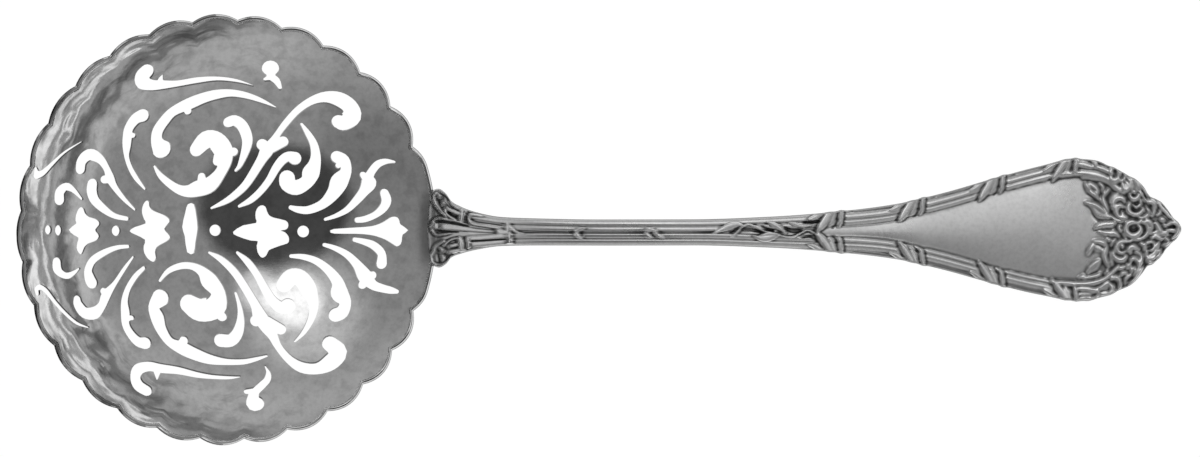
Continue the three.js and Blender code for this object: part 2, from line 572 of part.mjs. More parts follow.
// Places along the handle where its section is set
function stations() {
  const first = HALF_WIDTH[0][0];
  const last = HALF_WIDTH[HALF_WIDTH.length - 1][0];
  const marks = [...HALF_WIDTH, ...BACK_Z].map(([x]) => x).sort((a, b) => a - b);
  const kept = [first];
  for (const x of marks) {
    const from = kept[kept.length - 1];
    const pieces = Math.floor((x - from) / SECTION_STEP);
    for (let k = 1; k < pieces; k += 1) kept.push(from + ((x - from) * k) / pieces);
    if (x - kept[kept.length - 1] > SECTION_STEP / 3 || x === last) kept.push(x);
  }
  return kept;
}

// A raised stroke of the relief: a low ridge sunk into the handle's face
function ridge(spine) {
  const last = spine.length - 1;
  const rings = spine.map(([x, y, half], i) => {
    const [x0, y0] = spine[Math.max(i - 1, 0)];
    const [x1, y1] = spine[Math.min(i + 1, last)];
    const run = new THREE.Vector2(x1 - x0, y1 - y0).normalize();
    const floor = faceZ(x, y) - RELIEF_SINK;
    const height = RELIEF_SINK + RELIEF_RISE;
    return Array.from({ length: RELIEF_SIDES }, (_, k) => {
      const turn = (Math.PI * k) / (RELIEF_SIDES - 1);
      const aside = half * Math.cos(turn);
      const up = height * Math.sin(turn);
      return new THREE.Vector3(x - run.y * aside, y + run.x * aside, floor + up);
    });
  });
  return skin(rings);
}

// A flat strap laid across the handle's edge, from its inner end over the reeds and down the side
function strap(from, to, half, side) {
  const shares = [-0.15, 0.25, 0.6, 0.9, 1.06];
  const rings = shares.map((share) => {
    const x = from + (to - from) * Math.max(share, 0);
    const edge = along(HALF_WIDTH, x);
    const band = Math.min(REED_BAND, edge * REED_BAND_SHARE);
    const offset = edge - band * (1 - share);
    const thick = along(THICKNESS, x);
    const drop = share > 1 ? 0.5 * thick : share > 0.8 ? 0.2 * thick : 0;
    const top = along(BACK_Z, x) + thick - drop;
    const y = along(MIDDLE_Y, x) + side * offset;
    const inward = share > 1 ? STRAP_SINK : 0;
    const upper = share < 0 ? -PANEL_SINK : STRAP_RISE;
    return [
      new THREE.Vector3(x - half, y, top + upper),
      new THREE.Vector3(x + half, y, top + upper),
      new THREE.Vector3(x + half, y - side * inward, top - STRAP_SINK - PANEL_SINK),
      new THREE.Vector3(x - half, y - side * inward, top - STRAP_SINK - PANEL_SINK),
    ];
  });
  return skin(side > 0 ? rings : rings.reverse());
}

// A ring of relief round a point of the handle's face
function ringRelief([x, y, radius, half]) {
  const geometry = new THREE.TorusGeometry(radius, half, RELIEF_SIDES, RING_STEPS);
  return solid(geometry.translate(x, y, faceZ(x + radius, y)));
}

// The handle: one skinned body with its straps, scrolls, leaves and bud joined on
function makeHandle() {
  const rings = stations().map((x) => {
    const middle = along(MIDDLE_Y, x);
    const back = along(BACK_Z, x);
    return section(x).map(([y, z]) => new THREE.Vector3(x, middle + y, back + z));
  });
  let body = skin(rings);
  const add = (piece) => {
    body = body.add(piece);
  };
  for (const side of [1, -1]) {
    for (const x of RIBBON_TURNS) {
      add(strap(x, x + RIBBON_SLANT, RIBBON_HALF_WIDTH, side));
      add(strap(x + RIBBON_KNOT_X, x + RIBBON_KNOT_X, RIBBON_KNOT_HALF_WIDTH, side));
    }
    for (const [x, half] of COLLARS) add(strap(x, x, half, side));
    for (const spine of [...SCROLLS, ...LEAVES]) {
      const turned = spine.map(([x, y, half]) => [x, side * y, half]);
      add(ridge(turned));
    }
  }
  LILY.forEach((spine) => add(ridge(spine)));
  RINGS.forEach((ring) => add(ringRelief(ring)));
  const toHandle = new THREE.Vector3(HANDLE_FROM - JOINT_X, 0, 0);
  const bowlRoom = overBowl(
    JOINT_GAP,
    (p) => toRadius(dishPoint(p.x, p.y), DISH_RADIUS - JOINT_ROOM).add(toHandle),
    (p) => toRadius(dishPoint(p.x, p.y), DISH_RADIUS + SHEET + JOINT_GAP).add(toHandle),
  );
  return geometryOf(body.subtract(bowlRoom));
}

const silver = new THREE.MeshStandardMaterial({ color: 0x9b9b9b, roughness: 0.28, metalness: 1.0 });
const oxidised = new THREE.MeshStandardMaterial({ color: 0x8a8a8a, roughness: 0.34, metalness: 1.0 });

const bowl = new THREE.Mesh(makeBowl(), silver);
bowl.name = "pierced_bowl";
const handle = new THREE.Mesh(makeHandle(), oxidised);
handle.name = "handle";
handle.position.x = JOINT_X - HANDLE_FROM;

const spoon = new THREE.Group();
spoon.name = "pierced_serving_spoon";
spoon.add(bowl, handle);

export default spoon;
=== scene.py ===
"""Pierced serving spoon: a dished, scalloped silver bowl with sawn scrollwork, and a reeded silver
handle bound with ribbon. Lengths are in millimetres: +X along the handle, +Y up the photograph."""
import math

import bpy
import numpy as np
from mathutils.geometry import delaunay_2d_cdt
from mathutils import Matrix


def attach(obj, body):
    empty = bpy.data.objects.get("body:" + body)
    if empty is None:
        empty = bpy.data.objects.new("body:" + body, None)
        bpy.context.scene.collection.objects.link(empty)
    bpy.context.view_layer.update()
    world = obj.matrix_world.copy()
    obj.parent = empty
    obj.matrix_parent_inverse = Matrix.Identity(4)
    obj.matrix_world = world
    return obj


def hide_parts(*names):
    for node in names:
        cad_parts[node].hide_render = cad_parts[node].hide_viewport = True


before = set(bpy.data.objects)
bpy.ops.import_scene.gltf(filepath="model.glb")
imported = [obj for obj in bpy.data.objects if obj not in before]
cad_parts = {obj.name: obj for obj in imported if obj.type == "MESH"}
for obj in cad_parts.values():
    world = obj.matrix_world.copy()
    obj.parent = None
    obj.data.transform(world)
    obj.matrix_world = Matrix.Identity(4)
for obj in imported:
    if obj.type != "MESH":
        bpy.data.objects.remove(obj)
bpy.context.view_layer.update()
MM = 0.001

# ---- Camera, as the photograph was taken
PHOTO_WIDTH = 1200
MM_PER_PIXEL = 0.19
LENS, SENSOR = 500.0, 36.0
CAMERA_X, CAMERA_SIGHT = 0.1, 20.0
SPOON_HEIGHT = 12.0
camera_data = bpy.data.cameras.new("camera")
camera_data.lens = LENS
camera_data.sensor_width = SENSOR
camera_data.clip_end = CAMERA_SIGHT
camera = bpy.data.objects.new("camera", camera_data)
distance = PHOTO_WIDTH * MM_PER_PIXEL * LENS / SENSOR
camera.location = (CAMERA_X * MM, 0.0, (SPOON_HEIGHT + distance) * MM)
bpy.context.collection.objects.link(camera)
bpy.context.scene.camera = camera
bpy.context.scene.view_settings.view_transform = "Standard"

# ---- The bowl: part of the same ball as the solid, in a thinner sheet, thinnest at the rim
SHEET = 0.8
OUTER_RADIUS = 64.5
DISH_RADIUS = OUTER_RADIUS - SHEET
BOWL_X = -71.0
DISH_X = BOWL_X + 11.7
DISH_Z = OUTER_RADIUS
RIM_THINNING = 0.36
THINNING_REACH = (20, 45)
# Rim in its own tilted circle: uneven lobes from the first notch, in degrees from the handle on
# each side, round to the seam
RIM_TILT = math.radians(14)
SIDE_LOBES = 12.56
FIRST_NOTCH = 23.1
SEAM = 182.25
NOTCH_RADIUS = 39.5
NOTCH_SWELL = 0.1
NOTCH_DROP = 0.2
LOBE_RISE = 1.03
LOBE_LEAN = 0.38
BEAD_WIDTH = 0.55
BEAD_RISE = 0.2
FLUTE_RISE = 0.07
FLUTE_LENGTH = 3.6
FLUTE_MEAN = 0.35
# Slight waves of the hammered sheet on the side away from the handle: pitch, turns and beats
WAVE_RISE = 0.0045
WAVES = [(2.1, 21, 8), (3.4, -14, 5), (1.5, 26, 11)]
WAVES_BEGIN, WAVES_END = (.5, 2.5), (14, 9)
WAVES_SIDE, WAVES_LULL = (.5, -.2), (-.8, -.95)
LULL = 0.65
# Mesh: lines of points inside the rim, points along a lobe from LOBES_FROM, and the pitch of the
# middle
RIM_INSETS = (.09, .18, .275, .37, .46, .55, .7, 1.0, 1.5, 2.1, 2.8, 3.6, 4.6, 5.8, 7.2)
RIM_STEPS, LOBES_FROM, LOBES_FADE = 16, -1.75, 12
GRID, ROW_SHARE, GRID_GAP, WELD = 1.35, 0.87, 0.8, 1e-5
SPINE_STEPS, CAP_STEPS, DOT_STEPS = 4, 8, 24
LEAST_HALF = 0.08
CORNER_SOFT = 0.1
NORMAL_STEP = 0.02
# How dark: the outer face is darker; painted shade on the walls at the rim's edge and in the
# piercings; a painted dark reflection of the handle's lap
OUTSIDE_DARK, RIM_WALL_SHADE, HOLE_WALL_SHADE, LAP_REFLECTION_DARK = 0.4, 0.9, 1.0, 0.45
LAP_REFLECTION_X, LAP_REFLECTION_Y = (-2.2, -.9), (8, 4)
EDGE_INSET = 0.02
# Painted streaks of dark reflection round the far rim: strength and insets of each band, the ring
# where they clear, and the painted shade along the far rim's edge. Sides are cosines of the angle
# from the handle
STREAK_DRIFT = 6
STREAK_BANDS = [(.45, 13, 8.5), (.3, 5.6, 4.2)]
STREAK_SIDE, CLEAR_SIDE, FAR_EDGE_SIDE = (.55, -.3), (-.6, -.85), (.1, -.6)
CLEAR_BEGINS, CLEAR_ENDS, FAR_EDGE_ENDS = (1.2, 2), (4.4, 3.4), (2.5, 1.9)
CLEARED = 0.8
FAR_EDGE_SHADE = 0.15

# Piercings, from the rim's centre. Strokes are rows of x, y, half width
STROKES = [
    # Upper rim hook
    (5.1,27.1,.15, 2,28,.38, -1.6,28.4,.48, -5.3,28.1,.65, -9.1,27.45,.68, -12.2,27.2,.95,
     -14,27.15,1.1, -15.6,27.65,1.4, -15.7,28.8,1.4, -14.8,29.85,1.3),
    (-12.4,27.9,.6, -12.2,28.5,.45, -11.9,29.2,.1),
    # Upper ball
    (8.33,30.37,1.55, 8.53,30.37,1.55), (7.45,28.3,.42, 8.5,28.6,.72, 9.5,28,.75, 10.2,26.65,.4),
    # Upper long c
    (9.3,23,.2, 6.6,24.25,.52, 3.8,25.2,.7, 1,25.65,.8, -1.7,25.4,1, -4.2,24.75,1.1, -7,23.6,1.2,
     -9.9,22.2,1, -11.5,20.6,1.05, -12.9,18.5,1.1, -13.1,16.6,1.22, -12.3,15.2,1.9),
    (-7.4,23,.8, -7.2,22.2,.72),
    # Upper inner scroll
    (-13.6,11.75,.25, -12.3,9.8,.6, -9.55,7.65,.83, -7.4,7.1,1.15, -5.4,7.6,1.55, -3.1,8.4,1.5,
     -1,10.9,1.1, -.4,13,1.5, -.7,14.9,1.85, -2,16.6,1.85, -3.8,16.8,1.77, -5.6,15,1.4),
    (.4,14.4,.9, 1.3,14.55,.88), (-4.7,9.2,.9, -4.75,9.85,.75), (-1.5,13.6,1, -1.75,12.8,.9),
    # Upper small hook
    (.45,20.15,1.08, 1.6,20.45,1.12, 2.95,19.55,1.08, 3.8,17.6,1.05, 3.8,15.6,.93, 2.6,12.2,.52,
     1.75,11.05,.3),
    # Upper stem scroll
    (-2.9,3.9,.22, .1,5.35,.6, 2.5,7.2,.74, 4.15,9.1,.8, 6.5,12.9,.95, 7.5,14.6,1.25, 8.5,16,1,
     9.4,17.5,.64, 11.3,20.05,.68, 13.6,22.5,.73, 16.2,24.2,.86, 18.8,24.9,1.15, 21.3,24.5,1.5,
     23.3,23.2,1.6, 23.9,21.4,1.75, 22.2,20.1,1.6, 21.3,20.2,1.4), (7.5,15.4,1.1, 6.75,15.95,1.1),
    (8.2,15.3,1.15, 10.7,16.5,1.05),
    # Upper mid tail
    (2.35,4.25,.28, 4.45,5.35,.6, 6.4,7.1,.66, 8.05,9.2,.7, 9.3,11.4,.8, 10.55,13,.9, 11.7,13.65,1,
     12.9,13.35,1.28),
    # Upper curl
    (14.25,19.8,.3, 15.4,18.1,.6, 16.5,16.1,.78, 16.9,14,.93, 16.7,12.3,1.2, 16,10.6,1.65,
     15.2,8.9,1.3, 13.2,7.8,1.45, 11.6,8.5,1.5, 11.45,9.6,1.5),
    # Upper wave
    (20.95,13.55,1.22, 22.2,12.8,1.25, 22.65,10.9,1.1, 21.4,8.9,1.7, 20.3,6.8,1.3, 18.3,4.7,.9,
     15.6,3.55,.77, 13.6,3.6,.65, 12.15,4,.42), (21.6,12.6,.7, 21.1,11.9,.5),
    # Upper thistle
    (18.7,1.75,.28, 20.8,2.45,.42, 22.9,3.6,.6, 24.7,5.4,.8, 26,7,1, 27,8.7,1.5, 27.2,10.2,.85,
     28.6,12.1,.72, 30.2,12.75,.55, 31.9,12.65,.25), (26.6,9.2,.8, 25.9,10.1,.7),
    # Upper petal
    (29.95,6.6,.95, 30.3,5.3,1.05, 29.7,3.9,.88, 28.2,2.6,.65, 26.3,1.8,.6, 24.7,1.6,.5),
    # Upper left crescent
    (-15.75,21.4,1.28, -17.1,20.7,1.1, -18.3,19,.95, -18.6,17.4,.98, -18.75,15.6,.88,
     -18.75,13.6,.56, -18.15,11.6,.52, -17.05,9.6,.52, -15.4,7.5,.25),
    (-18.2,17.6,.6, -17.5,17.6,.5),
    # Upper left crook
    (-27.4,11.2,.95, -27.2,12.6,1, -26.3,13.7,1.1, -25.2,13.95,1.1, -23.6,13,.85, -22.5,11.3,.7,
     -21.9,9.6,.9, -21,7.8,.66, -19.3,5.6,.48, -17.3,3.6,.25), (-22.3,9.4,.8, -23,9.3,.78),
    # Upper left bean
    (-25.2,8.45,1.02, -25.3,7,1.05, -24.7,5.3,.95, -22.95,3.6,.78, -21,2.35,.52, -18.7,1.85,.38),
    # Upper far hook
    (-31.3,5.4,1, -31.2,6.9,.95, -30.1,7.9,.78, -28.8,7.35,.55, -27.2,5.6,.25),
    # Upper edge sliver
    (-35.6,11.3,.35, -35.4,10,.7),
    (-35.4,10,.7, -34.2,10.6,.6, -32.5,12.3,.42, -30.3,14.4,.3, -27.2,16.4,.18),
    # Lower rim hook
    (2.6,-28.1,.2, .5,-28.25,.42, -2.6,-28.1,.5, -5.5,-27.7,.65, -9,-26.9,.8, -12.3,-26.5,.95,
     -14.6,-26.1,1, -16.5,-26.7,1.1, -17,-28.2,1.02, -16.4,-29.7,1.1, -14.9,-30.7,1.05),
    (-13,-27.2,.7, -13,-28.5,.2),
    # Lower ball
    (7.4,-26.1,.18, 8,-27.3,.42, 7.8,-28.6,.7, 6.8,-29.7,.8, 5.4,-31.2,.9, 5.3,-33,1.5,
     5.9,-33.2,1.4), (5.4,-30.8,.7, 3.9,-30.9,.55),
    # Lower long c
    (-12.5,-13.2,1.7, -13.65,-14.9,1.15, -13,-16.9,1.35, -12.25,-19.1,1.1, -10.7,-21.4,.95,
     -8.4,-22.6,1.3, -6.1,-23.7,1.25, -3.2,-24.75,1.05, 0,-25.25,.72, 3.2,-25.25,.63,
     5.6,-24.75,.5, 7.6,-24.15,.3), (-8.3,-22,.9, -8,-21.2,.85),
    # Lower inner scroll
    (-12.6,-9.9,.28, -11,-8.05,.5, -8.6,-7.1,.63, -6.4,-7.2,.72, -4.6,-8.2,1.05, -3.3,-9.9,1.65,
     -1.6,-12.2,1.42, -2.2,-14.8,2.2, -4.9,-15.45,2.25, -7,-14.3,1.85),
    (-1.6,-16,1, -.85,-16.7,.95),
    # Lower small hook
    (1.75,-12.3,.3, 2.35,-14.3,.42, 2.65,-16.1,.58, 2.6,-18,.82, 2,-20,1.08, .8,-21.2,1.3,
     -1,-21.2,1.35),
    # Lower stem scroll
    (-3.3,-4.6,.25, -1.3,-5.7,.6, .75,-7.5,.75, 2.5,-9.7,.8, 5.25,-14.2,.9, 6.3,-16.6,1.35,
     7.6,-18.6,1.3, 8.8,-20.4,.95, 9.85,-22.4,.75, 11.85,-24.75,.85, 14.3,-26.3,1.12,
     17.2,-26.55,1.2, 19.7,-25.4,1.65, 21.3,-23.5,1.65, 19.6,-21.8,1.5),
    (6.4,-17.2,1.2, 5.6,-17.5,1.15), (7.5,-17.8,1.3, 10.3,-19.15,1.05),
    # Lower mid tail
    (2,-4.6,.28, 3.9,-6.3,.66, 5.75,-8.8,.72, 7.2,-11.4,.84, 8.6,-13.6,.95, 10.1,-14.9,1.2,
     11.6,-14.75,1.5),
    # Lower curl
    (13,-21.4,.25, 14.65,-19.7,.5, 15.95,-17.4,.68, 16.5,-15.2,.9, 16.2,-13.2,1.2, 15.4,-11.3,1.6,
     13.9,-9.4,1.6, 12.2,-9.3,1.65, 10.9,-10.7,1.5),
    # Lower wave
    (12.2,-5.25,.35, 14.5,-5.4,.55, 17,-6.2,.68, 19.3,-7.9,.85, 21,-10.1,1.15, 21.4,-12.2,1.7,
     22.5,-14,1.2, 21.9,-15.8,1.35, 20.7,-16.4,1.38),
    # Lower thistle
    (18.5,-3.1,.35, 20.6,-3.75,.5, 22.9,-5,.68, 24.7,-6.8,.9, 26.2,-9,1.4, 27.8,-10.7,.95,
     29.3,-11.3,.8, 31.2,-11.75,.68, 32.4,-12,.4), (26.9,-9.2,.8, 27.7,-8.9,.8),
    (26.2,-9.9,.9, 25.8,-10.6,.9),
    # Lower petal
    (24.2,-2.1,.4, 26.2,-2.55,.6, 27.95,-3.25,.78, 29.35,-4.7,.88, 29.4,-6.6,1.1),
    # Lower left crescent
    (-15.6,-7.5,.4, -17.1,-9,.55, -18.5,-11.3,.6, -19.15,-13.7,.72, -19,-16,.93, -18.9,-18.2,.8,
     -17.95,-20,.85, -16.6,-21.4,1, -15.3,-21.7,1.2), (-18.6,-16.9,.6, -17.8,-16.9,.5),
    # Lower left crook
    (-17.6,-5.4,.25, -19.2,-7.6,.42, -21,-10.4,.5, -22.6,-12.6,.95, -23.4,-14.6,.85, -24.8,-16,1.2,
     -26.6,-15.9,1.1, -27.8,-14.4,.92, -28,-13.4,.75), (-22.7,-12.3,.8, -23.1,-11.9,.7),
    # Lower left bean
    (-18.5,-3.4,.32, -20.6,-3.6,.42, -22.9,-4.5,.62, -25.05,-5.95,.75, -25.95,-7.8,.82,
     -25.7,-9.4,1.05, -25.3,-10.3,1.1),
    # Lower far hook
    (-31.8,-6.3,.85, -31.7,-7.6,.9, -31,-8.5,.75, -29.8,-8.95,.6, -28.5,-8.3,.4, -27.7,-7.6,.2),
    # Lower edge hook
    (-35.3,-12.3,.42, -35.4,-11.4,.5, -34.8,-11,.5),
    (-34.8,-11,.5, -33.7,-11.8,.5, -32,-14,.42, -30,-16.2,.4, -28,-17.9,.35, -25.9,-18.7,.18),
]
# Closed outlines on the middle line, as rows of x and y
OUTLINES = [
    # Far left fleur
    (-30,-.25, -28.1,1.03, -28.5,1.4, -28.4,2.5, -27.9,3.8, -27.3,4.14, -26.7,3.8, -26.5,2.86,
     -25.7,2.1, -24.6,1.85, -23.9,1.4, -23.7,.76, -24.7,-.28, -24.1,-.9, -23.8,-1.44, -24.2,-2.17,
     -25,-2.5, -25.9,-2.8, -26.6,-3.5, -26.9,-4.45, -27.3,-5.1, -27.9,-4.6, -28.3,-3.7, -28.1,-2.6,
     -27.8,-1.7, -28.65,-1.34),
    # Left fleur
    (-18.6,-.52, -17.5,.3, -15.1,.94, -15.7,1.76, -16.1,3.04, -16,4.1, -15.5,5.14, -14.95,5.4,
     -14.4,4.96, -14.5,4.3, -14,3.5, -13.1,3.04, -11.85,2.6, -10.8,1.94, -10.5,1.3, -11.85,-.1,
     -10.9,-.98, -10.4,-1.7, -11.1,-2.35, -12.2,-2.9, -13.1,-3.5, -13.4,-4.45, -13.1,-5.55,
     -13.5,-6.2, -14,-6.4, -14.95,-5.8, -15.7,-4.6, -15.8,-3.35, -15.2,-2.1, -17.5,-1.07),
    # Cross bar
    (-7.5,4.83, -6,4.83, -5.6,2.27, -5.4,.45, -5.4,-.28, -5.8,-2.5, -6,-4.9, -7.66,-4.9,
     -7.97,-1.2, -8.6,.17, -7.9,3),
    # Central fleur
    (.83,-.74, 3.03,.72, 5.86,1, 5.4,1.9, 5.4,3.2, 5.95,4.2, 6.8,4.5, 7.4,4.1, 7.6,3.2, 8.1,2.36,
     9.05,2, 11.3,1.54, 11.7,.9, 11.6,.08, 11.06,-.28, 9.97,-.37, 11.06,-.65, 11.8,-1.56,
     11.8,-2.57, 11.4,-2.9, 10.3,-3.2, 9.05,-3.66, 7.87,-4.1, 7.6,-5, 7,-5.58, 6.4,-5.5, 5.77,-4.5,
     5.6,-3.2, 6,-2.3, 4.67,-2.4, 1.75,-1.4),
    # Right bud
    (19.74,-.07, 26.8,.3, 28.2,.57, 29.7,1.2, 30.98,2.1, 31.9,2.3, 32.6,2.1, 32.95,1.4, 32.9,.85,
     34.9,-.34, 33.35,-1.16, 33.4,-2.1, 33.2,-3, 32.4,-3.5, 31.7,-3.1, 30.2,-2.1, 28.6,-1.5,
     27.1,-1.16, 24.9,-.98, 20,-1, 19.56,-.6),
]
# Round piercings on the middle line: centre and the two half sizes
DOTS = [
    (-33.42,-.25, .62,.9), (-31.56,-.34, .66,1), (-20.85,-.43, .84,1), (-2.22,-.34, 1.08,1.08),
    (14.5,-.57, 1.11,1.11),
]

# ---- The handle: outlines, heights and thickness as in the solid, in rows of x and value
HALF_WIDTH = (
    -35.4,2.2, -34.3,4.6, -32.6,6.6, -30.6,7.5, -29.2,6.7, -28.2,5.4, -26.4,4.5, -23.1,3.5,
    -18.5,2.75, -11.7,2.56, 0,2.47, 18,2.47, 31.6,2.9, 47.6,4.1, 56.7,5.3, 65.8,7.4, 75,10,
    84.1,12.3, 90.5,13.5, 95.5,13, 100,11.1, 102.6,9.2, 104.6,6.8, 106.9,5.3, 109.4,2.4, 110.9,.5,
)
MIDDLE_Y = (
    -31,.1, -24,-.45, -12,-.65, 0,-.76, 30,-.7, 60,-.57, 80,-.45, 90,-.2,
)
THICKNESS = (
    -31,3.9, -28,3.9, -24,3.6, -18,3.4, 0,3.3, 30,3.1, 50,3, 75,2.8, 100,2.8, 110.9,1.9,
)
BACK_Z = (
    -31,4.8, -28,6.4, -24,8.6, -18,11.2, -10,13.2, 0,14, 10,13.8, 20,12.9, 35,10.3, 50,7, 65,3.8,
    76,1.5, 84,.3, 88,0, 106,0, 110.9,.5,
)
HEEL_TO, HEEL_DEPTH, BALL_REACH = -31, 1.7, 60
UNDER_FLAT, UNDER_RISE, LEAST_THICK = 0.5, 0.5, 0.05
# The end's own upper and lower edge from TIP_X on
TIP_X = 90.5
TIP_TOP = (
    90.5,13.3, 93.5,13.15, 95,12.9, 96,12.5, 97,12, 98,11.7, 99,11.15, 100,10.6, 101,10, 102,9.55,
    103,8.75, 104,7.6, 104.5,6.7, 105,6.1, 106,5.65, 107,5.1, 107.6,4.5, 108,4, 108.5,3.35,
    109,2.6, 109.5,1.9, 110,1.5, 110.5,1, 110.88,.3,
)
TIP_LOW = (
    90.5,-13.7, 93,-13.85, 94,-13.65, 95,-13.3, 96,-13.05, 97,-12.8, 98,-12.4, 99,-11.8, 100,-11.4,
    101,-10.95, 102,-10.2, 103,-9.1, 103.5,-8.5, 104,-7.8, 104.6,-7.1, 105,-7, 105.5,-6.8,
    106,-6.3, 107,-5.4, 107.5,-4.7, 108,-3.9, 108.5,-3.4, 109,-2.8, 110,-1.95, 110.5,-1.2,
    110.88,-.5,
)
# Mesh: places along the handle as from, to and step, close together where its face is worked
STATIONS = [
    (-35.4, -33, .4), (-33, -24, .17), (-24, -14, .25), (-14, -6, .9), (-6, -2, .25),
    (-2, 8.2, 1.2), (8.2, 12.6, .3), (12.6, 21.5, 1.2), (21.5, 39.5, .2), (39.5, 49, .17),
    (49, 55, .5), (55, 64.6, .17), (64.6, 70.4, .5), (70.4, 80, .17), (80, 84.2, .4),
    (84.4, 110.8, .17),
]
HANDLE_END = 110.88
LEAST_STEP = 0.05
ACROSS, UNDER = 150, 14
# Grooves between the reeds, from the edge inwards: on the stem, and along the panel's two borders
STEM_GROOVES = (0.1, 1.27, 2.45)
UPPER_GROOVES = (0.5, 1.9, 3.15)
LOWER_GROOVES = (0.85, 2.4, 3.5)
STEM_WIDENS = (2.7, 5.0)
LINED, LINED_INSET = (.62, 1), (.35, .1)
GROOVE, EDGE_STEP = 0.3, 0.12
STEM_CAMBER, STEM_SPLIT, SPLIT_HALF = 0.4, 0.25, 0.28
BORDER_CAMBER, BORDER_MIDDLE, BORDER_HALF = 0.27, 1.9, 1.4
PANEL_SINK, PANEL_CROWN, PANEL_EDGE = 0.35, 0.55, 0.45
LEAF_FLAT, LEAF_X = 0.6, (82, 92)
EDGE_DROP, EDGE_ROUND = 0.35, (.3, 0)
# How far the ground lies below the reeds at each end and under the leaves, and how high relief is
JOINT_ENDS = (-24.6, -25.4)
JOINT_SINK, TIP_SINK, LEAF_SINK = 0.35, 0.3, 0.3
RELIEF, RELIEF_STEPS = 0.6, 6
STROKE_MARGIN = 0.4
TIP_SPREAD, TIP_EDGE = 1.15, (0, .5)
# How dark with patina in the hollows and ground, with painted shade along the edges and a darker
# back, and how deep below its surroundings a place has to lie to be dark
GROOVE_DARK, TIP_DARK, JOINT_DARK = 0.6, 0.8, 0.25
UNRUBBED = 0.85
# Painted shade along the handle's edges, where they turn away; the back is simply darker
EDGE_SHADE, EDGE_DARKENS, BACK_DARK = 0.95, (.4, .12), 0.7
LEAST_DEPTH, DARK_DEPTH = .005, .06
# How far round a stroke of relief, or a pit, the metal is rubbed bright, or left dark
RELIEF_RUBBED, RELIEF_FADE, PIT_RUBBED, PIT_FADE = 1.12, .3, .55, .4
# The handle's face laps over the rim of the bowl as far as this line
LAP_X, LAP_BEND = -32.8, 0.012
LAP_DROP, LAP_DROPS = 0.7, (3.4, 0)
LAP_EDGE, LAP_GAP = (.15, -.15), 0.03

# Relief of the handle's face. Each line is a rise above the reeds' crowns, or the depth of a pit,
# and then x, y, half width of each point of its spine
JOINT_RELIEF = [
    # Tongue with its round end and button
    (.1, -30.2,.45,.9, -28.5,.3,.75, -26,0,.5, -23,-.35,.32, -20.2,-.55,.22),
    (.25, -31.4,1.75,.22, -30.7,1.97,.26, -29.2,1.75,.24, -27.4,1.45,.2, -25.6,.9,.15),
    (.25, -31.4,1.75,.22, -31.85,1.1,.26, -31.95,.2,.24, -31.75,-.6,.24, -31.1,-1.2,.26,
     -29.9,-1.15,.24, -28.4,-.95,.2), (.5, -31.3,.8,.4, -31.25,.2,.4),
    # Upper volute, its hook and tube, the collar and the reed that turns back
    (.3, -29.2,2.3,.26, -30.1,3.2,.3, -31.2,4.7,.34, -31.6,6.2,.38, -31,7.1,.42),
    (.45, -31,7.15,.3, -30.2,7.2,.42, -29.4,6.9,.52, -28.8,6.3,.4, -28.2,5.6,.25),
    (.4, -30.9,6.6,.2, -30.45,6.3,.32, -30.5,5.9,.24),
    (.4, -29.75,5.05,.28, -29.65,4.7,.3, -29.95,4.4,.2),
    (.35, -28.9,4.05,.2, -29.35,3.7,.28, -29.2,2.95,.28, -28.5,2.25,.28, -27.4,1.7,.22),
    (.25, -28.8,3.7,.3, -27.9,3.35,.42, -26.9,2.9,.4),
    (.15, -28.4,4.9,.35, -27,4,.4, -25.6,3.3,.4),
    (.35, -26.2,3.6,.45, -26.1,2.6,.62, -26.3,1.6,.5),
    (.3, -22.6,2.35,.2, -24.2,2.6,.24, -24.85,2.2,.26, -24.7,1.3,.26, -24,.85,.24, -22,.5,.2,
     -18.8,0,.18),
    # Knot, strap and tendril where the stem begins
    (.25, -19.6,-.5,.4, -18.8,-.6,.62, -17.9,-.7,.4),
    (.4, -17.5,.85,.34, -17.4,-.2,.42, -17,-1.4,.42, -17,-2.6,.4),
    (.3, -17.4,.7,.24, -16.5,-.25,.28, -15.5,-.75,.26, -14.4,-.95,.16),
    # Lower volute, its coil, tubes and collars
    (.3, -31.4,-4.2,.26, -32,-5.2,.34, -31.9,-6.3,.4, -31.1,-7,.42, -30,-7.05,.4, -28.9,-6.4,.36,
     -28.3,-5.5,.25), (.45, -30.2,-5.2,.22, -29.7,-5.6,.42, -29.9,-6.1,.32),
    (.35, -30.4,-3.7,.24, -30,-4.1,.28),
    (.3, -29.6,-3.3,.24, -28.9,-2.5,.26, -27.9,-2,.24, -27,-1.85,.2),
    (.15, -29.6,-2.4,.25, -30.8,-3,.3, -31.5,-4,.25),
    (.35, -26.6,-1.9,.5, -26.4,-2.8,.6, -26.3,-3.7,.5),
    (.25, -25.1,-1.8,.4, -24.9,-2.7,.45, -24.9,-3.5,.35), (.35, -26.3,-4.2,.3, -25.7,-4.1,.3),
    (.15, -28.7,-4.5,.35, -27.6,-4.3,.42, -26.8,-4.1,.35), (.15, -28.6,-3.4,.35, -27.3,-3.1,.4),
]
JOINT_PITS = [
    (.3, -30.6,1.2,.3, -29.5,1.15,.26, -28,.95,.2, -25,.45,.15),
    (.3, -30.6,-.35,.28, -29.3,-.55,.22, -27,-.65,.16),
    (.3, -25.55,2.3,.2, -25.35,1.6,.22, -25,1,.18),
    (.3, -24.2,1.75,.2, -23.4,1.3,.2, -21,.95,.16, -18.6,.6,.16),
    (.3, -24.3,-2.35,.2, -22,-2.25,.2, -18.2,-2.05,.18), (.3, -19.85,-.5,.2, -19.75,-.7,.2),
    (.3, -30.9,5.5,.22, -30.3,5.3,.25), (.3, -28.8,3,.2, -28.2,2.6,.2, -27.2,2.2,.18),
    (.3, -30.6,-4.9,.2, -30.5,-5.7,.22, -30.4,-6.4,.2),
]
